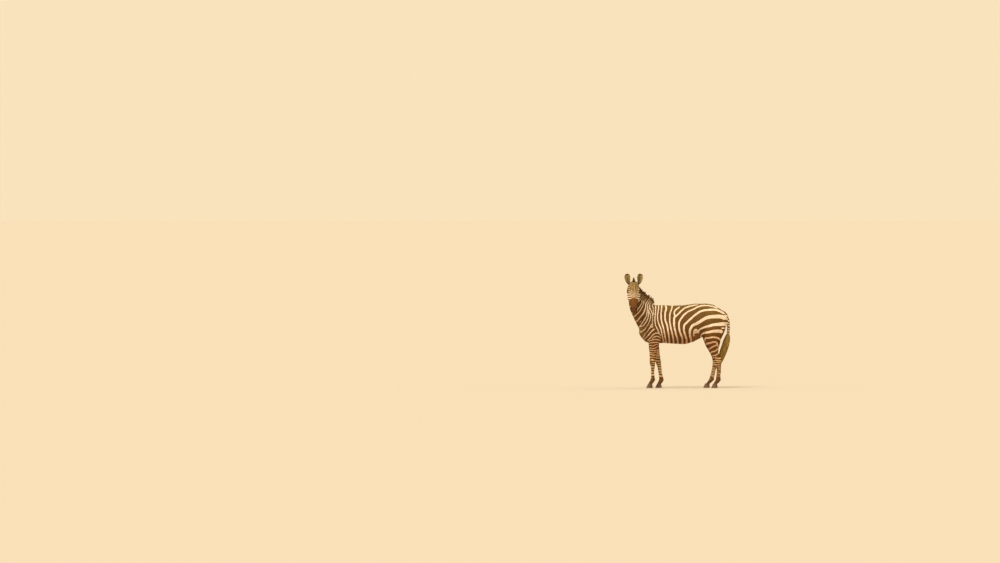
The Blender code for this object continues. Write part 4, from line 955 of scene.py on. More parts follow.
# ---- building pieces from arrays ----------------------------------------------------------------
def mesh_of(name, points, triangles):
    """A mesh from rows of points and rows of triangles."""
    mesh = bpy.data.meshes.new(name)
    mesh.vertices.add(len(points))
    mesh.vertices.foreach_set("co", np.ascontiguousarray(points, np.float32).ravel())
    mesh.loops.add(3 * len(triangles))
    mesh.loops.foreach_set("vertex_index", np.ascontiguousarray(triangles, np.int32).ravel())
    mesh.polygons.add(len(triangles))
    mesh.polygons.foreach_set("loop_start", np.arange(0, 3 * len(triangles), 3, dtype=np.int32))
    mesh.update(calc_edges=True)
    mesh.validate()
    return mesh


def grid_triangles(rows, columns, closed=False):
    """Triangles of a grid of points, row by row; closed joins the last column to the first."""
    i, j = np.meshgrid(np.arange(rows - 1), np.arange(columns if closed else columns - 1), indexing="ij")
    a = i * columns + j
    b = i * columns + (j + 1) % columns
    return np.concatenate([np.stack([a, b, b + columns], axis=-1).reshape(-1, 3),
                           np.stack([a, b + columns, a + columns], axis=-1).reshape(-1, 3)])


def closed_piece(name, points, columns):
    """An object from rings of points, one ring after another, closed at both ends."""
    rows = len(points) // columns
    caps = [(first, first + i, first + i + 1)
            for first in (0, (rows - 1) * columns) for i in range(1, columns - 1)]
    triangles = np.concatenate([grid_triangles(rows, columns, closed=True), np.array(caps)])
    obj = new_object(name, mesh_of(name, points, triangles))
    face_outwards(obj)
    return obj


ALL_DEEP = 0.02               # a stripe distance that is dark all over


def paint(obj, stripes, pale, deep):
    """Store the markings on the object's points."""
    mesh = obj.data
    layer = mesh.attributes.new("stripe", "FLOAT", "POINT")
    layer.data.foreach_set("value", stripes.astype(np.float32))
    for name, colour in (("pale", pale), ("deep", deep)):
        layer = mesh.attributes.new(name, "FLOAT_COLOR", "POINT")
        rgba = np.concatenate([colour, np.ones((len(colour), 1))], axis=1)
        layer.data.foreach_set("color", rgba.astype(np.float32).ravel())


def lay_patches(mesh, places, offsets):
    """The map OFBake: each tuft is a small patch at its root's place on an unwrap of the skin."""
    layer = mesh.uv_layers.new(name="OFBake")
    corners = np.empty(len(mesh.loops), dtype=np.int32)
    mesh.loops.foreach_get("vertex_index", corners)
    per_tuft = len(offsets)
    spots = places[corners // per_tuft] + offsets[corners % per_tuft]
    layer.data.foreach_set("uv", spots.astype(np.float32).ravel())


BLADE_TRIANGLES = np.array([(0, 2, 1), (0, 3, 2), (1, 2, 3)])
BLADE_PATCH = np.array([(-1, -1), (1, -1), (0, 0), (0, 1)]) * 0.0015


def blade_points(roots, normals, lie, length, width, lift):
    """Thin tufts with a ridge: two points at the root, one on the ridge and one at the tip."""
    side = unit(np.cross(normals, lie))
    length, width, lift = length[:, None], width[:, None], lift[:, None]
    foot = roots - normals * TUFT_SINK
    rows = (foot - side * width * 0.5, foot + side * width * 0.5,
            roots + lie * length * 0.38 + normals * (lift * 0.75 + width * 0.12),
            roots + lie * length + normals * lift)
    return np.stack(rows, axis=1)


LOCK_SIDES = 3
LOCK_STEPS = 4


def lock_triangles():
    """Triangles of one lock: a thin three-sided spike."""
    rings = grid_triangles(LOCK_STEPS, LOCK_SIDES, closed=True)
    last = (LOCK_STEPS - 1) * LOCK_SIDES
    tip = LOCK_STEPS * LOCK_SIDES
    cap = [(last + i, last + (i + 1) % LOCK_SIDES, tip) for i in range(LOCK_SIDES)]
    return np.concatenate([rings, np.array(cap)])


LOCK_TRIANGLES = lock_triangles()
LOCK_PATCH = np.array([(0.0015 * math.cos(2 * math.pi * i / LOCK_SIDES),
                        -0.0015 + 0.0030 * step / LOCK_STEPS)
                       for step in range(LOCK_STEPS) for i in range(LOCK_SIDES)] + [(0.0, 0.0015)])


def lock_points(paths, side, width, thickness):
    """Locks along their paths: (locks, LOCK_STEPS + 1, 3) points each, widest a third of the way up."""
    way = unit(np.gradient(paths, axis=1))
    side = side[:, None, :] - way * np.einsum("ij,ikj->ik", side, way)[:, :, None]
    side = unit(side)
    up = np.cross(way, side)
    rows = []
    for step in range(LOCK_STEPS):
        taper = math.sin(math.pi * (0.35 + 0.65 * step / LOCK_STEPS)) ** 0.8
        for i in range(LOCK_SIDES):
            angle = 2 * math.pi * i / LOCK_SIDES
            rows.append(paths[:, step] + side[:, step] * (width * taper / 2 * math.cos(angle))[:, None]
                        + up[:, step] * (thickness * taper / 2 * math.sin(angle))[:, None])
    rows.append(paths[:, LOCK_STEPS])
    return np.stack(rows, axis=1)


def many(name, points, triangles, places, patch, stripes, pale, deep, material):
    """One piece of many equal tufts or locks; markings have a row to each tuft or to each point."""
    count, each = points.shape[:2]
    faces = (triangles[None] + each * np.arange(count)[:, None, None]).reshape(-1, 3)
    mesh = mesh_of(name, points.reshape(-1, 3), faces)
    obj = new_object(name, mesh)
    lay_patches(mesh, places, patch)
    if len(stripes) == count:
        stripes, pale, deep = (np.repeat(rows, each, axis=0) for rows in (stripes, pale, deep))
    paint(obj, stripes, pale, deep)
    mesh.materials.append(material)
    place_in_frame(obj)
    return obj


# ---- finishes of hair, skin, horn and eye -------------------------------------------------------
def link_chain(tree, *ends):
    """Join the sockets in pairs."""
    for start, end in zip(ends[::2], ends[1::2]):
        tree.links.new(start, end)


def noise_node(tree, where, scale, detail, roughness=0.5):
    """A noise texture on the object's own coordinates."""
    noise = tree.nodes.new("ShaderNodeTexNoise")
    noise.inputs["Scale"].default_value = scale
    noise.inputs["Detail"].default_value = detail
    noise.inputs["Roughness"].default_value = roughness
    tree.links.new(where, noise.inputs["Vector"])
    return noise


def range_node(tree, value, low, high, to_low=0.0, to_high=1.0):
    """A map of the value from low..high to the given range, clamped."""
    made = tree.nodes.new("ShaderNodeMapRange")
    made.inputs["From Min"].default_value = low
    made.inputs["From Max"].default_value = high
    made.inputs["To Min"].default_value = to_low
    made.inputs["To Max"].default_value = to_high
    tree.links.new(value, made.inputs["Value"])
    return made


def attribute_node(tree, name):
    """The values stored on the mesh under the name."""
    made = tree.nodes.new("ShaderNodeAttribute")
    made.attribute_name = name
    return made


def bump_node(tree, shader, height, strength, distance):
    """Small relief on the shader's surface."""
    bump = tree.nodes.new("ShaderNodeBump")
    bump.inputs["Strength"].default_value = strength
    bump.inputs["Distance"].default_value = distance
    link_chain(tree, height, bump.inputs["Height"], bump.outputs["Normal"], shader.inputs["Normal"])


def scaled(tree, colour, factor):
    """The colour times the factor."""
    made = tree.nodes.new("ShaderNodeVectorMath")
    made.operation = "SCALE"
    link_chain(tree, colour, made.inputs[0], factor, made.inputs["Scale"])
    return made.outputs["Vector"]


def mixed(tree, factor, low, high):
    """Two colours, each a socket or a plain value, mixed by the factor."""
    made = tree.nodes.new("ShaderNodeMix")
    made.data_type = "RGBA"
    tree.links.new(factor, made.inputs["Factor"])
    for colour, end in ((low, "A"), (high, "B")):
        if isinstance(colour, bpy.types.NodeSocket):
            tree.links.new(colour, made.inputs[end])
        else:
            made.inputs[end].default_value = (*colour, 1.0)
    return made.outputs["Result"]


def new_material(name, roughness, specular):
    """A material with its tree, its shader and the object's own coordinates."""
    made = bpy.data.materials.new(name)
    made.use_nodes = True
    tree = made.node_tree
    shader = tree.nodes["Principled BSDF"]
    shader.inputs["Roughness"].default_value = roughness
    shader.inputs["Specular IOR Level"].default_value = specular
    where = tree.nodes.new("ShaderNodeTexCoord").outputs["Object"]
    return made, tree, shader, where


def coat_material(name, edge=0.0008, fray=0.0030, bump_size=520.0):
    """Pale and deep hair, parted at the edge of the stripes."""
    made, tree, shader, where = new_material(name, roughness=0.62, specular=0.16)
    stripe = attribute_node(tree, "stripe")
    frayed = noise_node(tree, where, 300.0, 3.0)
    shift = tree.nodes.new("ShaderNodeMath")
    shift.operation = "MULTIPLY_ADD"
    shift.inputs[1].default_value = fray
    link_chain(tree, frayed.outputs["Fac"], shift.inputs[0], stripe.outputs["Fac"], shift.inputs[2])
    mask = range_node(tree, shift.outputs[0], fray / 2 - edge, fray / 2 + edge)
    hair = mixed(tree, mask.outputs["Result"], attribute_node(tree, "pale").outputs["Color"],
                 attribute_node(tree, "deep").outputs["Color"])
    patch = noise_node(tree, where, 7.0, 5.0)
    tone = range_node(tree, patch.outputs["Fac"], 0.3, 0.7, 0.88, 1.08)
    strand = noise_node(tree, where, bump_size, 2.0)
    grain = range_node(tree, strand.outputs["Fac"], 0.3, 0.7, 0.86, 1.10)
    link_chain(tree, scaled(tree, scaled(tree, hair, tone.outputs["Result"]), grain.outputs["Result"]),
               shader.inputs["Base Color"])
    bump_node(tree, shader, strand.outputs["Fac"], strength=0.4, distance=0.0010)
    return made


def hoof_material():
    """Grey-brown horn with growth rings, streaks and dust."""
    made, tree, shader, where = new_material("horn", roughness=0.55, specular=0.35)
    spots = noise_node(tree, where, 18.0, 6.0)
    base = mixed(tree, range_node(tree, spots.outputs["Fac"], 0.35, 0.65).outputs["Result"],
                 HORN_DARK, HORN_PALE)
    rings = tree.nodes.new("ShaderNodeTexWave")
    rings.bands_direction = "Z"
    rings.inputs["Scale"].default_value = 36.0
    rings.inputs["Distortion"].default_value = 1.6
    rings.inputs["Detail"].default_value = 3.0
    link_chain(tree, where, rings.inputs["Vector"])
    ringed = range_node(tree, rings.outputs["Fac"], 0.0, 1.0, 0.82, 1.08)
    banded = scaled(tree, base, ringed.outputs["Result"])
    split = tree.nodes.new("ShaderNodeSeparateXYZ")
    link_chain(tree, where, split.inputs[0])
    dust = range_node(tree, split.outputs["Z"], 0.0, 0.022, 0.55, 0.0)
    link_chain(tree, mixed(tree, dust.outputs["Result"], banded, HORN_DUST), shader.inputs["Base Color"])
    fine = noise_node(tree, where, 160.0, 5.0)
    bump_node(tree, shader, fine.outputs["Fac"], strength=0.3, distance=0.0010)
    return made


def eye_material():
    """A wet dark eye: a level pupil, a brown iris and a darker white of the eye."""
    made, tree, shader, where = new_material("eyeball", roughness=0.08, specular=0.12)
    shader.inputs["Coat Weight"].default_value = 0.25
    shader.inputs["Coat Roughness"].default_value = 0.02
    rays = noise_node(tree, where, 260.0, 4.0)
    iris = mixed(tree, range_node(tree, rays.outputs["Fac"], 0.35, 0.65).outputs["Result"],
                 IRIS_DARK, IRIS_BROWN)
    veins = noise_node(tree, where, 90.0, 4.0)
    white = mixed(tree, range_node(tree, veins.outputs["Fac"], 0.35, 0.65).outputs["Result"],
                  WHITE_DARK, WHITE_PALE)
    colour = PUPIL_BLACK
    for name, around in (("pupil", iris), ("iris", white)):
        soft = range_node(tree, attribute_node(tree, name).outputs["Fac"], -0.0004, 0.0004)
        colour = mixed(tree, soft.outputs["Result"], colour, around)
    link_chain(tree, colour, shader.inputs["Base Color"])
    return made


skin_finish = coat_material("coat_skin")
tuft_finish = coat_material("coat_tufts", fray=0.0, edge=0.0006)
lock_finish = coat_material("long_hair", fray=0.0, edge=0.0010, bump_size=700.0)


def place_in_frame(obj):
    """Carry a piece from the body's own axes into the model's frame, and set it on the body."""
    set_points(obj.data, vertex_array(obj.data) + BODY_SHIFT)
    obj.data.shade_smooth()
    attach(obj, "root")


# ---- ears ---------------------------------------------------------------------------------------
EAR_ROOT = np.array([0.283, 0.074, 1.622])        # x, distance aside of the head, z
EAR_TIP = np.array([0.298, 0.108, 1.776])
EAR_WIDTH = 0.088
EAR_SPLAY = 0.25              # how far the opening turns outwards
# Share of the ear's length, share of its width, and how far round each side of the leaf wraps.
EAR_SHAPE = np.array([(-0.16, 0.36, 178.0), (-0.06, 0.42, 172.0), (0.00, 0.46, 160.0), (0.15, 0.57, 128.0),
                      (0.45, 0.88, 84.0), (0.62, 1.00, 72.0), (0.82, 0.94, 60.0), (0.94, 0.66, 52.0),
                      (1.00, 0.22, 45.0)])
EAR_ROWS = 44
EAR_COLUMNS = 36
EAR_EDGE = 0.0012             # half the thickness at the rim
EAR_BODY = 0.0022             # half the thickness elsewhere


def ear_leaf(side, share, turn):
    """Points of the ear's middle surface, and the way each faces out of its hollow."""
    root = np.array([EAR_ROOT[0], HEAD_ORIGIN[1] + EAR_ROOT[1] * side, EAR_ROOT[2]])
    tip = np.array([EAR_TIP[0], HEAD_ORIGIN[1] + EAR_TIP[1] * side, EAR_TIP[2]])
    length = np.linalg.norm(tip - root)
    axis = (tip - root) / length
    facing = np.array([1.0, EAR_SPLAY * side, 0.0])
    facing = unit(facing - axis * (facing @ axis))
    across = np.cross(axis, facing)
    spread, wrap = spline(EAR_SHAPE[:, 0], EAR_SHAPE[:, 1:], share).T
    wrap = np.radians(wrap)
    half_width = EAR_WIDTH / 2 * spread
    radius = half_width / np.sin(np.minimum(wrap, math.pi / 2))
    angle = wrap * turn
    lean = 0.006 * np.sin(math.pi * np.clip(share, 0, 1)) - 0.004 * np.clip(share - 0.8, 0, 1) / 0.2
    sunk = smoothstep(0.16, -0.14, share)
    inwards = np.array([-0.004, -0.026 * side, 0.0])
    place = (root + inwards * sunk[:, None] + axis * (length * share)[:, None]
             + across * (radius * np.sin(angle))[:, None]
             + facing * (radius * (0.5 - np.cos(angle)) + lean)[:, None])
    hollow = facing * np.cos(angle)[:, None] - across * np.sin(angle)[:, None]
    return place, hollow, np.broadcast_to(axis, place.shape)


def make_ears():
    """Both ears as one mesh with their markings."""
    share, turn = np.meshgrid(np.linspace(EAR_SHAPE[0, 0], 1.0, EAR_ROWS), np.linspace(-1, 1, EAR_COLUMNS),
                              indexing="ij")
    share, turn = share.ravel(), turn.ravel()
    points, triangles, rows = [], [], []
    count = 0
    for side in (-1, 1):
        place, hollow, _ = ear_leaf(side, share, turn)
        rim = np.maximum(np.abs(turn) ** 6, smoothstep(0.9, 1.0, share))
        half = EAR_BODY + (EAR_EDGE - EAR_BODY) * rim + 0.0035 * smoothstep(0.25, 0.0, share)
        half *= 1 + 0.10 * np.cos(turn * 9)
        front, back = place + hollow * half[:, None], place - hollow * half[:, None]
        sheet = grid_triangles(EAR_ROWS, EAR_COLUMNS)
        size = len(place)
        grid = np.arange(size).reshape(EAR_ROWS, EAR_COLUMNS)
        border = np.concatenate([grid[0], grid[1:, -1], grid[-1, -2::-1], grid[-2:0:-1, 0]])
        after = np.roll(border, -1)
        wall = np.concatenate([np.stack([border, border + size, after + size], axis=-1),
                               np.stack([border, after + size, after], axis=-1)])
        whole = np.concatenate([sheet, sheet[:, ::-1] + size, wall]) + count
        points += [front, back]
        triangles.append(whole)
        for inner in (True, False):
            rows.append(np.stack([share, turn, np.full(size, inner), np.full(size, side)], axis=1))
        count += 2 * size
    points = np.concatenate(points)
    ears = new_object("ears", mesh_of("ears", points, np.concatenate(triangles)))
    face_outwards(ears)
    paint(ears, *ear_markings(np.concatenate(rows), points))
    return ears


def ear_markings(rows, points):
    """Dark rims and tips; inside tan with a dark middle and foot, painted shade of the ear's hollow, outside
    banded like the coat.
    """
    share, turn, inner, side = rows.T
    ragged = wobble(points, 0.016, 71)
    rim = smoothstep(0.74, 0.97, np.abs(turn) + 0.04 * ragged)
    rim = np.maximum(rim, smoothstep(0.82, 0.96, share + 0.015 * wobble(points, 0.02, 72)))
    centre = np.abs(turn - 0.12 * side + 0.05 * ragged)
    # dark middle and foot of the inside: painted shade deep in the ear's hollow
    middle = smoothstep(0.34, 0.02, centre) * smoothstep(0.10, 0.34, share) * smoothstep(0.90, 0.55, share)
    base = smoothstep(0.26, 0.06, share) * (inner > 0.5)
    dark = np.maximum(np.maximum(rim, 0.62 * middle), base)
    front = (dark - 0.5) * 0.006
    tip = smoothstep(0.60, 0.64, share + 0.01 * ragged)
    bands = waves(share / 0.21 + 0.05 * turn + 0.02 * ragged, 0.03, 0.42)
    back = np.where(tip > 0.5, 0.01, np.where(share < 0.52, bands, -0.01))
    stripes = np.where(inner > 0.5, front, back)
    inside = (inner > 0.5)[:, None]
    foot = smoothstep(0.30, 0.10, share)[:, None]
    pale = np.where(inside, EAR_TAN, CREAM * 0.92 + foot * (FOREHEAD_TAN - CREAM * 0.92))
    # the inside's pale hair darkens towards its middle: painted shade of the hollow
    pale = pale * (1 - 0.25 * (inside[:, 0] * smoothstep(0.5, 0.0, np.abs(turn)))[:, None])
    deep = np.where(inside, EAR_DEEP, BROWN + foot * (FOREHEAD_DARK - BROWN))
    return stripes, pale, deep


# ---- skin and ears joined in one piece ----------------------------------------------------------
skin = build_body()
skin_points = vertex_array(skin.data)
skin_normals = normal_array(skin.data)
paint(skin, *markings(skin_points, skin_normals))
ears = make_ears()
skin.data.materials.append(skin_finish)
ears.data.materials.append(skin_finish)
skin.data.calc_loop_triangles()
skin_triangles = np.empty(3 * len(skin.data.loop_triangles), dtype=np.int32)
skin.data.loop_triangles.foreach_get("vertices", skin_triangles)
skin_triangles = skin_triangles.reshape(-1, 3)
bpy.ops.object.select_all(action="DESELECT")
bpy.context.view_layer.objects.active = skin
skin.select_set(True)
ears.select_set(True)
bpy.ops.object.join()
skin.select_set(False)
place_in_frame(skin)
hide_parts(*FLESH_NODES)


# ---- coat ---------------------------------------------------------------------------------------
# Tufts of each region: name, slot, length, width, lift of the tip, and how often they cover the skin.
REGIONS = (
    ("muzzle", "muzzle", 0.0045, 0.0018, 0.0005, 1.2),
    ("face", "coat", 0.0080, 0.0025, 0.0010, 1.9),
    ("neck", "coat", 0.0130, 0.0036, 0.0017, 2.1),
    ("shoulders", "coat", 0.0130, 0.0036, 0.0017, 2.1),
    ("barrel_left", "coat", 0.0135, 0.0038, 0.0017, 2.1),
    ("barrel_right", "coat", 0.0135, 0.0038, 0.0017, 2.1),
    ("haunches", "coat", 0.0130, 0.0036, 0.0017, 2.1),
    ("forelegs", "coat", 0.0095, 0.0029, 0.0011, 1.8),
    ("hindlegs", "coat", 0.0095, 0.0029, 0.0011, 1.8),
    ("dock", "coat", 0.0120, 0.0030, 0.0020, 2.0),
)
(IN_MUZZLE, IN_FACE, IN_NECK, IN_SHOULDERS, IN_LEFT_BARREL, IN_RIGHT_BARREL, IN_HAUNCHES, IN_FORELEGS,
 IN_HINDLEGS, IN_DOCK) = range(len(REGIONS))
COAT_SEED, EAR_SEED, MANE_SEED, TAIL_SEED, CORONET_SEED, LASH_SEED = range(5, 11)
HAIR_FLOOR = 0.034            # the skin is bare below this, inside the hooves
TUFT_FILL = 0.62              # share of its length times width that a tuft covers
LIE_SPREAD = 0.13             # how far tufts turn from the lie of the coat
EDGE_SPREAD = 0.0007          # how far they blur the edges of the stripes
EAR_TUFTS = 2600              # on each side of each ear
# Hair of the ears: where, share of EAR_TUFTS, length, width, lift of the tip.
EAR_HAIR = (("inside", 1.0, 0.0085, 0.0024, 0.0011), ("outside", 1.0, 0.0085, 0.0024, 0.0011),
            ("fringe", 0.25, 0.0180, 0.0018, 0.0035))


def region_of(points):
    """Index in REGIONS of each point of the skin."""
    x, y, z = points.T
    local = to_head(points)
    region = np.where(x > 0, IN_LEFT_BARREL, IN_RIGHT_BARREL)
    on_head = head_share(points) > 0.5
    for inside, index in ((y < -0.36, IN_SHOULDERS), (y > 0.22, IN_HAUNCHES),
                          (neck_share(points) > 0.5, IN_NECK),
                          ((z < 0.70) & (y < -0.30), IN_FORELEGS),
                          ((z < 0.66) & (y > 0.20), IN_HINDLEGS),
                          (on_head, IN_FACE),
                          (on_head & (local[:, 0] + 0.30 * local[:, 2] > 0.335), IN_MUZZLE),
                          (tail_share(points) > 0.5, IN_DOCK)):
        region[inside] = index
    return region


def coat_lie(points, normals):
    """The way the hair points at each place of the skin."""
    _, y, z = points.T
    along, aside, above = to_head(points).T
    _, where = neck_place(points)
    trunk = np.stack([np.zeros(len(points)), 0.90 - 0.3 * smoothstep(0.3, 0.6, y),
                      -0.35 - 0.55 * smoothstep(0.30, 0.60, y)], axis=1)
    breast = smoothstep(-0.55, -0.68, y)
    trunk = blend(trunk, np.array([0.0, 0.25, -0.95]), breast)
    neck = -neck_axis[where] * 0.85 - neck_up[where] * 0.40
    way = blend(trunk, neck, neck_share(points))
    way = blend(way, np.array([0.0, 0.12, -1.0]), smoothstep(0.78, 0.62, z))
    face = -ALONG[None] * 0.9 - ABOVE[None] * (0.45 * smoothstep(0.0, -0.14, above))[:, None]
    face = face + ASIDE[None] * (0.5 * np.sign(aside) * smoothstep(0.10, 0.0, along))[:, None]
    way = blend(way, face, head_share(points))
    way = blend(way, np.array([0.0, 0.1, -1.0]), tail_share(points))
    way = way + 0.10 * np.stack([wobble(points, 0.12, seed) for seed in (81, 82, 83)], axis=1)
    return unit(flattened(way, normals))


def unwrap(region, points):
    """Place of each point on an unwrap of its region of the skin, from 0 to 1 each way."""
    x, y, z = points.T
    local = to_head(points)
    if region in (IN_MUZZLE, IN_FACE):
        angle = np.arctan2(local[:, 1], local[:, 2] + 0.09)
        run = (local[:, 0] + 0.10) / 0.70
    elif region == IN_NECK:
        at, where = neck_place(points)
        offset, up = points - neck_middle[where], neck_up[where]
        angle = np.arctan2(np.einsum("ij,ij->i", offset, np.cross(neck_axis[where], up)),
                           np.einsum("ij,ij->i", offset, up))
        run = at / (len(NECK) - 1)
    elif region in (IN_FORELEGS, IN_HINDLEGS):
        left = x > 0
        middle = np.where(y < 0, np.where(left, -0.51, -0.41), np.where(left, 0.50, 0.44))
        slant = np.interp(z, (0.0, 0.45, 0.7), (0.0, 0.03, 0.0))
        angle = np.arctan2(np.abs(x) - 0.100, y - middle - slant) * 0.5 + np.where(left, 0.5, -0.5) * math.pi
        run = z / 0.72
    elif region == IN_DOCK:
        angle = np.arctan2(x, y - np.interp(z, (0.84, 0.93, 1.02, 1.10), (0.672, 0.679, 0.672, 0.650)))
        run = (z - 0.80) / 0.40
    else:
        angle = np.arctan2(x, z - 0.98)
        run = (y + 0.80) / 1.55
    return np.stack([0.02 + 0.96 * (angle / (2 * math.pi) + 0.5), np.clip(0.02 + 0.96 * run, 0.0, 1.0)],
                    axis=1)


def make_coat():
    """Short tufts all over the skin, in one piece to each region."""
    draw = np.random.RandomState(COAT_SEED)
    corners = skin_points[skin_triangles]
    areas = np.linalg.norm(np.cross(corners[:, 1] - corners[:, 0], corners[:, 2] - corners[:, 0]), axis=1) / 2
    middles = corners.mean(axis=1)
    regions = region_of(middles)
    local = to_head(middles)
    far, past, _, _ = eye_reach(local)
    bare = (past < 0.0045) & (far < 0.032)
    bare |= nostril_reach(local) < 1.3
    over, mouth = mouth_reach(local)
    bare |= (mouth > 0.5) & (np.abs(over) < 0.002)
    bare &= head_share(middles) > 0.5
    bare |= middles[:, 2] < HAIR_FLOOR
    areas[bare] = 0.0
    for index, (name, slot, length, width, lift, cover) in enumerate(REGIONS):
        chosen = np.flatnonzero(regions == index)
        total = areas[chosen].sum()
        count = int(cover * total / (TUFT_FILL * length * width))
        cell = chosen[np.searchsorted(np.cumsum(areas[chosen]) / total, draw.uniform(size=count))]
        a, b = draw.uniform(size=(2, count))
        flip = a + b > 1
        a, b = np.where(flip, 1 - a, a), np.where(flip, 1 - b, b)
        weights = np.stack([1 - a - b, a, b], axis=1)[:, :, None]
        roots = (skin_points[skin_triangles[cell]] * weights).sum(axis=1)
        normals = unit((skin_normals[skin_triangles[cell]] * weights).sum(axis=1))
        lie = coat_lie(roots, normals)
        lie = unit(lie + np.cross(normals, lie) * draw.normal(0, LIE_SPREAD, count)[:, None])
        stripes, pale, deep = markings(roots, normals)
        at_tip = markings(roots + lie * length, normals)[0]
        stripes = np.stack([stripes, stripes, blend(stripes, at_tip, 0.4), at_tip], axis=1)
        stripes = (stripes + draw.normal(0, EDGE_SPREAD, count)[:, None]).ravel()
        tone = np.repeat(draw.normal(1.0, 0.055, count).clip(0.82, 1.18), 4)[:, None]
        pale, deep = np.repeat(pale, 4, axis=0), np.repeat(deep, 4, axis=0)
        points = blade_points(roots, normals, lie, length * draw.uniform(0.75, 1.15, count),
                              width * draw.uniform(0.75, 1.2, count), lift * draw.uniform(0.6, 1.25, count))
        piece = many("coat_" + name, points, BLADE_TRIANGLES, unwrap(index, roots), BLADE_PATCH,
                     stripes, pale * tone, deep * tone, tuft_finish)


def make_ear_tufts():
    """Short hair on the ears, and longer pale hair that stands in from their rims."""
    draw = np.random.RandomState(EAR_SEED)
    points, stripes, pales, deeps, places = [], [], [], [], []
    count = int(EAR_TUFTS * (1))
    for side in (-1, 1):
        for kind, portion, long, wide, lift in EAR_HAIR:
            number = int(count * portion)
            share = draw.uniform(-0.02, 0.985, number)
            turn = draw.uniform(-0.97, 0.97, number)
            if kind == "fringe":
                share = draw.uniform(0.05, 0.90, number)
                turn = np.where(draw.uniform(size=number) < 0.5, -1, 1) * draw.uniform(0.78, 0.98, number)
            place, hollow, axis = ear_leaf(side, share, turn)
            out = -hollow if kind == "outside" else hollow
            roots = place + out * EAR_BODY
            if kind == "fringe":
                inward = unit(np.cross(axis, hollow))
                to_middle = ear_leaf(side, share, turn * 0.9)[0] - place
                inward *= np.sign(np.einsum("ij,ij->i", inward, to_middle))[:, None]
                lie = unit(axis * 0.75 + inward * 0.65 + hollow * 0.25 + 0.15 * draw.normal(size=(number, 3)))
            else:
                lie = unit(axis + 0.12 * draw.normal(size=(number, 3)))
            lie = unit(flattened(lie, out))
            long = long * draw.uniform(0.7, 1.15, number)
            short = np.clip((1.03 - share) * 0.16 / long, 0.25, 1.0)
            points.append(blade_points(roots, out, lie, long * short, np.full(number, wide),
                                       np.full(number, lift)))
            rows = np.stack([share, turn, np.full(number, kind != "outside"), np.full(number, side)], axis=1)
            stripe, pale, deep = ear_markings(rows, roots)
            if kind == "fringe":
                stripe = np.where(share < 0.80, -0.01, stripe)
                pale = blend(pale, CREAM, 0.35)
            tone = draw.normal(1.0, 0.07, number).clip(0.8, 1.2)[:, None]
            stripes.append(stripe)
            pales.append(pale * tone)
            deeps.append(deep * tone)
            across = 0.25 + 0.5 * (side > 0) + (0.11 if kind == "outside" else -0.11) + 0.10 * turn
            places.append(np.stack([across, 0.03 + 0.94 * np.clip(share, 0, 1)], axis=1))
    piece = many("coat_ears", np.concatenate(points), BLADE_TRIANGLES, np.concatenate(places), BLADE_PATCH,
                 np.concatenate(stripes), np.concatenate(pales), np.concatenate(deeps), tuft_finish)


# ---- mane, forelock and tail --------------------------------------------------------------------
# Height of the mane at shares of its length, from the withers over the poll.
MANE_EDGE = np.array([(0.0, 0.052), (0.06, 0.088), (0.14, 0.100), (0.62, 0.098), (0.80, 0.078),
                      (0.89, 0.050), (1.0, 0.098)])
# Offset from the poll and way up of the mane's last points.
MANE_OVER_POLL = (((-0.014, 0.0, -0.010), (0.0, 0.0, 1.0)), ((0.018, 0.0, -0.012), (0.30, 0.0, 1.0)))
MANE_HALF_WIDTH = 0.0165
MANE_START = 1.12             # where along the neck it starts
MANE_WAVE = 0.052             # length of the bumps along its edge


def mane_way():
    """Crest of the neck from the withers over the poll: places, rise, side and way forward."""
    at = np.arange(MANE_START, len(NECK) - 1 + 0.01, 0.25)
    rows = spline(neck_keys, NECK, at)
    crests = [row[0:3] for row in rows]
    rises = [unit(row[0:3] - row[3:6]) for row in rows]
    for offset, rise in MANE_OVER_POLL:
        crests.append(HEAD_ORIGIN + np.array(offset))
        rises.append(unit(np.array(rise)))
    keys = np.linspace(0, 1, len(crests))
    share = np.linspace(0, 1, 241)
    crest = spline(keys, np.array(crests), share)
    way = unit(np.gradient(crest, axis=0))
    rise = spline(keys, np.array(rises), share)
    rise = unit(flattened(rise, way))
    return share, crest, rise, np.cross(way, rise), way


mane_share, mane_crest, mane_rise, mane_side, mane_ahead = mane_way()
mane_reach = np.append(0.0, np.cumsum(np.linalg.norm(np.diff(mane_crest, axis=0), axis=1)))


def mane_frame(share):
    """Crest point, rise, side and way forward at each share of the mane."""
    return [np.stack([np.interp(share, mane_share, rows[:, axis]) for axis in range(3)], axis=1)
            for rows in (mane_crest, mane_rise, mane_side, mane_ahead)]


def mane_height(share):
    """Height of the mane over the crest."""
    return spline(MANE_EDGE[:, 0], MANE_EDGE[:, 1], share)[:, 0]


MANE_CLUMPS = 46
FORELOCK_SHARE = 0.905        # from here on the hair is the forelock
FORELOCK_CORE_END = 0.972
CORE_PROFILE = ((-0.25, 1.0), (0.25, 1.0), (0.6, 0.72), (0.85, 0.38), (1.0, 0.08))   # height, width


def mane_colours(share, roots, side):
    """The neck's stripes carried up into the mane, and a dark forelock."""
    stripes, pale, deep = markings(roots, side)
    lock = smoothstep(FORELOCK_SHARE - 0.05, FORELOCK_SHARE - 0.01, share)
    return stripes + 0.03 * lock, blend(pale, EAR_TAN, 0.55), blend(deep, MANE_BROWN, 0.5)


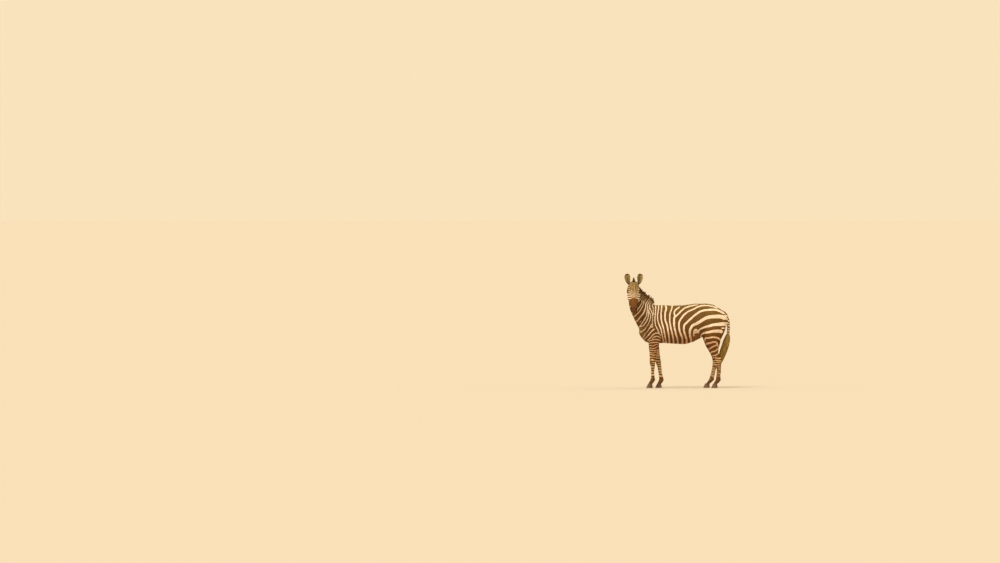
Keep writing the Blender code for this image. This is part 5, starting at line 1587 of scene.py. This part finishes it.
def hair_core(name, share_low, share_high, tallness, slimness):
    """The dense inside of the mane, so that no light shows between the locks."""
    share = np.linspace(share_low, share_high, 90)
    crest, rise, side, _ = mane_frame(share)
    height = mane_height(share) * tallness
    ring = [*CORE_PROFILE, *((level, -width) for level, width in reversed(CORE_PROFILE))]
    half = MANE_HALF_WIDTH * slimness
    points = np.stack([crest + rise * (height * level)[:, None] + side * (half * width)
                       for level, width in ring], axis=1)
    columns = len(ring)
    core = closed_piece(name + "_core", points.reshape(-1, 3), columns)
    roots = np.repeat(crest - rise * 0.006, columns, axis=0)
    _, pale, deep = mane_colours(np.repeat(share, columns), roots, np.repeat(side, columns, axis=0))
    levels = np.tile([level for level, _ in ring], len(share))
    # the core is deep hair all over and darker towards its foot: painted shade of the mane's inside
    painted_shade = (0.45 + 0.25 * smoothstep(0.2, 0.9, levels))[:, None]
    paint(core, np.full(len(levels), ALL_DEEP), pale * painted_shade, deep * painted_shade)
    core.data.materials.append(lock_finish)
    place_in_frame(core)
    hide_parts(name)


def mane_shape(draw, name, share, aside, least, most):
    """Height of each lock, how it leans forward, its place aside, and its pull towards its clump."""
    count = len(share)
    clump = np.floor(share * MANE_CLUMPS + 0.35 * np.sign(aside) * (np.abs(aside) > 0.4)).astype(int)
    lean = draw.normal(0, 0.13, MANE_CLUMPS + 4)[clump] * smoothstep(0.0, 0.10, share)
    grown = draw.uniform(0.84, 1.04, MANE_CLUMPS + 4)[clump]
    bumps = 0.93 + 0.07 * np.cos(2 * math.pi * np.interp(share, mane_share, mane_reach) / MANE_WAVE)
    height = mane_height(share) * grown * bumps * draw.uniform(least, most, count)
    height *= np.sqrt(1 - 0.45 * aside**2)
    pull = np.clip(((clump + 0.5) / MANE_CLUMPS - share) * 0.605, -0.012, 0.012)
    if name == "forelock":
        height = mane_height(share) * draw.uniform(0.66, 1.0, count) * (1 - 0.62 * np.abs(aside) ** 1.2)
        lean = draw.normal(0.0, 0.06, count)
        aside = aside * 2.5
        pull = (FORELOCK_SHARE + 0.055 - share) * 0.30
    return height, lean, aside, pull


def hair_row(draw, name, low, high, number, edge, least, most):
    """One piece of stiff locks along the crest; edge says how far aside they keep."""
    count = int(number * (1))
    ends = np.interp((low, high), mane_share, mane_reach)
    share = np.interp(draw.uniform(*ends, count), mane_reach, mane_share)
    aside = draw.uniform(-1, 1, count)
    aside = np.sign(aside) * np.abs(aside) ** edge
    crest, rise, side, ahead = mane_frame(share)
    height, lean, aside, pull = mane_shape(draw, name, share, aside, least, most)
    roots = crest + side * (aside * MANE_HALF_WIDTH)[:, None] - rise * (0.004 + 0.010 * aside**2)[:, None]
    steps = np.linspace(0, 1, LOCK_STEPS + 1)
    curl = draw.normal(0, 0.004, (2, count))
    paths = []
    for t in steps:
        forward = height * lean * t**1.6 + curl[0] * math.sin(2.6 * t) + pull * t
        sideways = curl[1] * t**2 - aside * MANE_HALF_WIDTH * 0.55 * t**1.5
        paths.append(roots + rise * ((height + 0.004) * t)[:, None] + ahead * forward[:, None]
                     + side * sideways[:, None])
    broad = unit(ahead + side * draw.normal(0, 0.5, count)[:, None])
    points = lock_points(np.stack(paths, axis=1), broad, draw.uniform(0.0030, 0.0060, count),
                         draw.uniform(0.0012, 0.0020, count))
    stripes, pale, deep = mane_colours(share + draw.normal(0, 0.003, count), roots - rise * 0.004, side)
    tone = draw.normal(1.0, 0.11, count).clip(0.7, 1.35)[:, None]
    at = np.append(np.repeat(steps[:-1], LOCK_SIDES), 1.0)
    stripes = (stripes[:, None] + 0.022 * smoothstep(0.62, 0.90, at)).ravel()
    # locks darker towards their roots, deep in the mane: painted shade
    painted_shade = (0.72 + 0.34 * smoothstep(0.0, 0.6, at))[None, :, None]
    pale, deep = ((colour * tone)[:, None] * painted_shade for colour in (pale, deep))
    places = np.stack([0.5 + 0.40 * aside, 0.02 + 0.96 * share], axis=1).clip(0.01, 0.99)
    piece = many(name + "_locks", points, LOCK_TRIANGLES, places, LOCK_PATCH, stripes,
                 pale.reshape(-1, 3), deep.reshape(-1, 3), lock_finish)


def make_mane():
    """The upright mane and the forelock: rows of stiff locks in ragged clumps over a dense core."""
    draw = np.random.RandomState(MANE_SEED)
    gap = 0.006
    hair_core("mane", gap, FORELOCK_SHARE, tallness=0.64, slimness=0.42)
    hair_row(draw, "mane", 0.0, FORELOCK_SHARE, number=9200, edge=0.7, least=0.80, most=1.0)
    hair_row(draw, "mane_sides", 0.0, FORELOCK_SHARE, number=4200, edge=0.25, least=0.30, most=0.80)
    hair_core("forelock", FORELOCK_SHARE + gap, FORELOCK_CORE_END, tallness=0.55, slimness=0.40)
    hair_row(draw, "forelock", FORELOCK_SHARE, 1.0, number=1500, edge=0.7, least=0.66, most=1.0)


TAIL_LOCKS = 4700
LEFT = np.array([1.0, 0.0, 0.0])
# Tail tuft: y, z, half depth and half width, from the dock down.
TAIL_TUFT = np.array([(0.6715, 0.8460, 0.022, 0.019), (0.664, 0.800, 0.040, 0.027),
                      (0.645, 0.720, 0.055, 0.034), (0.611, 0.610, 0.059, 0.036),
                      (0.574, 0.500, 0.051, 0.031), (0.558, 0.425, 0.032, 0.021),
                      (0.556, 0.380, 0.008, 0.006)])


def tail_frame(share):
    """Middle of the tail tuft and its half depth and half width at each share of its length."""
    keys = np.linspace(0, 1, len(TAIL_TUFT))
    rows = spline(keys, TAIL_TUFT, share)
    return np.stack([np.zeros(len(rows)), rows[:, 0], rows[:, 1]], axis=1), rows[:, 2], rows[:, 3]


def make_tail_tuft():
    """Long hair hanging from the end of the dock over a dense core."""
    draw = np.random.RandomState(TAIL_SEED)
    share = np.linspace(0.0, 0.93, 40)
    middle, depth, width = tail_frame(share)
    ahead = unit(np.gradient(middle, axis=0))
    up = np.cross(ahead, LEFT)
    angles = np.linspace(0, 2 * math.pi, 16, endpoint=False)
    slim = 0.74 - 0.25 * smoothstep(0.6, 1.0, share)
    points = np.stack([middle + up * (depth * slim * math.sin(a))[:, None]
                       + LEFT * (width * slim * math.cos(a))[:, None] for a in angles], axis=1)
    core = closed_piece("tail_core", points.reshape(-1, 3), len(angles))
    flat = np.ones((points.shape[0] * points.shape[1], 1))
    # the core is deep hair all over, darkened: painted shade of the tuft's inside
    paint(core, flat[:, 0] * ALL_DEEP, flat * TAIL_TAN * 0.7, flat * TAIL_BROWN * 0.6)
    core.data.materials.append(lock_finish)
    place_in_frame(core)
    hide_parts("tail_tuft")

    count = int(TAIL_LOCKS * (1))
    start = draw.uniform(-0.02, 0.62, count)
    angle = draw.uniform(0, 2 * math.pi, count)
    reach = np.sqrt(draw.uniform(0.45, 1.0, count))
    run = draw.uniform(0.30, 0.52, count)
    paths = []
    drift = draw.normal(0, 0.05, count)
    for t in np.linspace(0, 1, LOCK_STEPS + 1):
        at = np.clip(start + run * t, 0.0, 1.0)
        middle, depth, width = tail_frame(at)
        grow = reach * (0.80 + 0.17 * math.sin(math.pi * min(1.0, t * 1.1)) if t > 0 else 0.70)
        turned = angle + drift * t * 3
        paths.append(middle + LEFT * (width * grow * np.cos(turned))[:, None]
                     + np.array([0.0, 1.0, -0.2]) * (depth * grow * np.sin(turned))[:, None]
                     - np.array([0.0, 0.0, 1.0]) * (0.02 * np.maximum(start + run * t - 1.0, 0))[:, None])
    paths = np.stack(paths, axis=1)
    around = np.stack([-np.sin(angle), np.cos(angle), np.zeros(count)], axis=1)
    points = lock_points(paths, around, draw.uniform(0.0022, 0.0050, count),
                         draw.uniform(0.0012, 0.0022, count))
    stripes = np.where(draw.uniform(size=count) < 0.16 * smoothstep(0.45, 0.0, start), -0.01, 0.01)
    tone = draw.normal(1.0, 0.16, count).clip(0.6, 1.5)[:, None]
    places = np.stack([angle / (2 * math.pi), 0.02 + 0.96 * start.clip(0, 1)], axis=1).clip(0.01, 0.99)
    piece = many("tail_locks", points, LOCK_TRIANGLES, places, LOCK_PATCH, stripes, TAIL_TAN * tone,
                 TAIL_BROWN * tone, lock_finish)


# ---- hooves -------------------------------------------------------------------------------------
# Node, y of the toe, x of the middle, length and width on the ground.
HOOVES = (("hoof_fore_left", HOOF_TOE_Y, 0.088, 0.100, 0.084),
          ("hoof_fore_right", -0.463, -0.088, 0.100, 0.084),
          ("hoof_hind_left", 0.406, 0.106, 0.098, 0.077),
          ("hoof_hind_right", 0.286, -0.106, 0.098, 0.077))
HOOF_TOE_HEIGHT = 0.062
HOOF_HEEL_HEIGHT = 0.036
CORONET_WIDTH = 0.80          # shares of the hoof's width and length
CORONET_START = 0.27
CORONET_LENGTH = 0.76
HOOF_ROUNDNESS = 2.4
CORONET_HAIRS = 1500          # round each hoof
HOOF_COLUMNS = 96
HOOF_LEVELS = 34
# Rings of the sole, from its rim inwards: share of the rim, height, and depth of the frog.
HOOF_SOLE = ((0.90, 0.0, 0.0), (0.86, 0.003, 0.0), (0.60, 0.0055, 0.004), (0.30, 0.0065, 0.004),
             (0.02, 0.0065, 0.004))
# Rings of the top, from its rim inwards: share of the rim, and lift.
HOOF_DOME = ((0.96, 0.0030), (0.88, 0.0085), (0.72, 0.0125), (0.05, 0.0130))


def hoof_outline(turn):
    """The hoof's outline at each turn: how far across (-1 to 1) and how far back (0 to 1)."""
    c, s = np.cos(turn), np.sin(turn)
    across = np.sign(c) * np.abs(c) ** (2 / HOOF_ROUNDNESS)
    return across, (1 + np.sign(s) * np.abs(s) ** (2 / HOOF_ROUNDNESS)) / 2


def make_hoof(name, toe, x, length, width):
    """A hoof with growth rings, a rounded bearing edge, a hollow sole and a split heel."""
    turn = np.linspace(0, 2 * math.pi, HOOF_COLUMNS, endpoint=False)
    across, back = hoof_outline(turn)
    cleft = 0.10 * np.exp(-(across / 0.16) ** 2) * smoothstep(0.80, 0.98, back)
    ground = np.stack([x + across * width / 2, toe + length * (back - cleft), np.zeros(len(turn))], axis=1)
    coronet = np.stack([x + across * width / 2 * CORONET_WIDTH,
                        toe + length * (CORONET_START + CORONET_LENGTH * (back - cleft)),
                        HOOF_TOE_HEIGHT + (HOOF_HEEL_HEIGHT - HOOF_TOE_HEIGHT) * back], axis=1)
    centre = np.array([x, toe + length * 0.5, 0.0])
    rows = []
    for level in np.linspace(0, 1, HOOF_LEVELS):
        ring = ground + (coronet - ground) * level
        out = ring - centre
        out[:, 2] = 0
        out = unit(out)
        growth = math.sin(2 * math.pi * level * 7.5) + 0.7 * math.sin(2 * math.pi * level * 11.3)
        swell = 0.0012 * math.sin(math.pi * level) + 0.00022 * growth
        swell -= 0.0022 * (1 - min(1.0, level / 0.05)) ** 2 + 0.0012 * max(0.0, (level - 0.93) / 0.07)
        ripple = 0.0002 * np.sin(31 * turn) + 0.0003 * wobble(ring, 0.02, 91)
        rows.append(ring + out * (swell + ripple)[:, None])
    top = rows[-1]
    middle_top = top.mean(axis=0)
    for share, lift in HOOF_DOME:
        rows.append(middle_top + (top - middle_top) * share + np.array([0.0, 0.0, lift]))
    sole = []
    for share, height, frog in HOOF_SOLE:
        inner = centre + (rows[0] - centre) * share
        ridge = np.exp(-((inner[:, 0] - x) / 0.012) ** 2)
        inner[:, 2] = height - frog * ridge * smoothstep(0.25, 0.75, (inner[:, 1] - toe) / length)
        sole.append(inner)
    rows = sole[::-1] + rows
    obj = closed_piece(name + "_horn", np.concatenate(rows), HOOF_COLUMNS)
    obj.data.materials.append(horn_finish)
    place_in_frame(obj)
    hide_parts(name)


def make_coronets():
    """Hair that falls over the top of each hoof."""
    draw = np.random.RandomState(CORONET_SEED)
    roots, ways, outs, lengths, places = [], [], [], [], []
    for index, (_, toe, x, length, width) in enumerate(HOOVES):
        number = int(CORONET_HAIRS * (1))
        turn = draw.uniform(0, 2 * math.pi, number)
        c, s = np.cos(turn), np.sin(turn)
        across, back = hoof_outline(turn)
        lift = draw.uniform(0.0, 0.008, number)
        start, run = CORONET_START + 0.035 + 1.5 * lift, CORONET_LENGTH - 0.08 - 3.0 * lift
        root = np.stack([x + across * width / 2 * (CORONET_WIDTH - 0.10 - 3.0 * lift),
                         toe + length * (start + run * back),
                         HOOF_TOE_HEIGHT + (HOOF_HEEL_HEIGHT - HOOF_TOE_HEIGHT) * back + lift], axis=1)
        out = unit(np.stack([c, s, 0.4 * np.ones(number)], axis=1))
        way = unit(np.stack([0.25 * c, -0.35 * np.ones(number) + 0.25 * s, -np.ones(number)], axis=1))
        way = unit(blend(way, flattened(way, out), 0.8))
        roots.append(root)
        ways.append(way)
        outs.append(out)
        lengths.append(draw.uniform(0.009, 0.016, number))
        places.append(np.stack([0.02 + 0.96 * turn / (2 * math.pi), np.full(number, 0.1 + 0.2 * index)],
                               axis=1))
    roots, ways, outs = np.concatenate(roots), np.concatenate(ways), np.concatenate(outs)
    lengths = np.concatenate(lengths)
    count = len(roots)
    points = blade_points(roots, outs, ways, lengths, np.full(count, 0.0016),
                          draw.uniform(0.0, 0.0012, count))
    tone = draw.normal(1.0, 0.10, count).clip(0.7, 1.3)[:, None]
    piece = many("coat_coronets", points, BLADE_TRIANGLES, np.concatenate(places), BLADE_PATCH,
                 np.full(count, 0.01), LEG_CREAM * tone, PASTERN_BROWN * tone, tuft_finish)


# ---- eyes ---------------------------------------------------------------------------------------
EYE_RINGS = 64
EYE_COLUMNS = 96
IRIS_RADIUS = 0.0145
PUPIL_HALF = (0.0085, 0.0038)            # half length and half height of the level pupil
LASHES = 64                   # on each upper lid


def eye_axes(side):
    """An eye's middle, the way it looks, and the ways along and across its lids."""
    gaze = unit(GAZE[0] * ALONG + GAZE[1] * side * ASIDE + GAZE[2] * ABOVE)
    slant = ALONG + LID_TILT * ABOVE
    ahead = unit(slant - gaze * (slant @ gaze))
    middle = from_head(np.array([EYE_PLACE[0], EYE_PLACE[1] * side, EYE_PLACE[2]]))
    return middle, gaze, ahead, np.cross(ahead, gaze) * side


def make_eye(name, side):
    """An eyeball with a raised cornea, its iris and pupil turned the way it looks."""
    centre, gaze, ahead, upward = eye_axes(side)
    polar = np.repeat(np.linspace(0.002, math.pi - 0.002, EYE_RINGS), EYE_COLUMNS)
    turn = np.tile(np.linspace(0, 2 * math.pi, EYE_COLUMNS, endpoint=False), EYE_RINGS)
    flat_a, flat_u = np.sin(polar) * np.cos(turn), np.sin(polar) * np.sin(turn)
    radius = EYE_RADIUS - 0.0004 + 0.0006 * smoothstep(0.80, 0.45, polar)
    points = centre + radius[:, None] * (np.cos(polar)[:, None] * gaze + flat_a[:, None] * ahead
                                         + flat_u[:, None] * upward)
    eye = closed_piece(name + "ball", points, EYE_COLUMNS)
    run, rise = flat_a * EYE_RADIUS, flat_u * EYE_RADIUS
    front = np.cos(polar) > 0
    pupil = (np.sqrt((run / PUPIL_HALF[0]) ** 2 + (rise / PUPIL_HALF[1]) ** 2) - 1) * PUPIL_HALF[1]
    iris = np.hypot(run, rise) - IRIS_RADIUS
    for layer_name, values in (("pupil", pupil), ("iris", iris)):
        layer = eye.data.attributes.new(layer_name, "FLOAT", "POINT")
        layer.data.foreach_set("value", np.where(front, values, 0.01).astype(np.float32))
    eye.data.materials.append(eye_finish)
    place_in_frame(eye)
    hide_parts(name)


def make_lashes():
    """Lashes on the upper lids."""
    draw = np.random.RandomState(LASH_SEED)
    points, places = [], []
    for side in (-1, 1):
        centre, gaze, ahead, upward = eye_axes(side)
        across = np.linspace(-0.80, 0.80, LASHES) * LID_HALF_WIDTH + draw.normal(0, 0.01, LASHES)
        up = LID_UPPER * np.clip(1 - (across / LID_HALF_WIDTH) ** 2, 0, 1) ** 0.65 + 0.05
        out = unit(gaze + np.tan(across)[:, None] * ahead + np.tan(up)[:, None] * upward)
        roots = centre + out * (EYE_RADIUS + LID_THICKNESS - 0.0002)
        way = unit(out * 0.8 + gaze * 0.6 + ahead * (np.tan(across) * 0.25)[:, None] - upward * 0.15)
        side_way = unit(np.cross(way, upward))
        steps = np.linspace(0, 1, LOCK_STEPS + 1)
        long = draw.uniform(0.007, 0.011, LASHES)
        curl = upward - 0.9 * gaze
        paths = np.stack([roots + way * (long * t)[:, None] + curl * (long * 0.5 * t * t)[:, None]
                          for t in steps], axis=1)
        points.append(lock_points(paths, side_way, np.full(LASHES, 0.0006), np.full(LASHES, 0.0005)))
        places.append(np.stack([0.5 + 0.4 * across, np.full(LASHES, 0.5 + 0.3 * side)], axis=1))
    points = np.concatenate(points)
    rows = np.ones((len(points), 1))
    piece = many("eyelashes", points, LOCK_TRIANGLES, np.concatenate(places), LOCK_PATCH, rows[:, 0] * 0.01,
                 rows * BARE_SKIN, rows * BARE_SKIN, lock_finish)


horn_finish = hoof_material()
eye_finish = eye_material()
make_coat()
make_ear_tufts()
make_mane()
make_tail_tuft()
for hoof in HOOVES:
    make_hoof(*hoof)
make_coronets()
make_eye("eye_left", 1)
make_eye("eye_right", -1)
make_lashes()


# ---- floor, light and camera --------------------------------------------------------------------
FLOOR_COLOUR = (0.590, 0.540, 0.460)
SKY_COLOUR = (1.0, 0.81, 0.53)
SKY_STRENGTH = 0.95
LIGHTS = (("key", (0.80, -0.35, 0.85), 2.3, 25, (1.0, 0.93, 0.82)),
          ("rim", (-0.50, 0.55, 0.75), 0.7, 40, (1.0, 0.90, 0.76)))


def set_stage():
    """A pale floor that runs to the horizon, a pale sky and two soft lights."""
    bm = bmesh.new()
    bmesh.ops.create_grid(bm, x_segments=1, y_segments=1, size=900.0)
    mesh = bpy.data.meshes.new("floor")
    bm.to_mesh(mesh)
    bm.free()
    floor = new_object("floor", mesh)
    made = bpy.data.materials.new("floor_finish")
    made.use_nodes = True
    shader = made.node_tree.nodes["Principled BSDF"]
    shader.inputs["Base Color"].default_value = (*FLOOR_COLOUR, 1.0)
    shader.inputs["Roughness"].default_value = 0.95
    shader.inputs["Specular IOR Level"].default_value = 0.0
    floor.data.materials.append(made)
    world = bpy.data.worlds.new("sky")
    bpy.context.scene.world = world
    world.use_nodes = True
    sky = world.node_tree.nodes["Background"]
    sky.inputs["Color"].default_value = (*SKY_COLOUR, 1.0)
    sky.inputs["Strength"].default_value = SKY_STRENGTH
    for name, direction, strength, angle, colour in LIGHTS:
        light = bpy.data.lights.new(name, "SUN")
        light.energy = strength
        light.angle = math.radians(angle)
        light.color = colour
        lamp = bpy.data.objects.new(name, light)
        bpy.context.scene.collection.objects.link(lamp)
        lamp.rotation_euler = Vector(direction).to_track_quat("Z", "Y").to_euler()


LENS = 400.0
SENSOR = 36.0
CAMERA_DISTANCE = 173.07
CAMERA_HEIGHT = 3.10
AIM = (0.0, -2.882, 1.659)            # what the middle of the picture shows, in the body's own axes


def set_camera():
    """A long lens, square to the zebra's left side, with the zebra right of the middle."""
    data = bpy.data.cameras.new("camera")
    data.lens = LENS
    data.sensor_width = SENSOR
    data.clip_start = 1.0
    data.clip_end = 3000.0
    camera = bpy.data.objects.new("camera", data)
    bpy.context.scene.collection.objects.link(camera)
    aim = Vector(AIM) + Vector(BODY_SHIFT)
    camera.location = (aim.x + CAMERA_DISTANCE, aim.y, CAMERA_HEIGHT)
    camera.rotation_euler = (camera.location - aim).to_track_quat("Z", "Y").to_euler()
    bpy.context.scene.camera = camera


set_stage()
set_camera()
bpy.context.scene.view_settings.view_transform = "Standard"
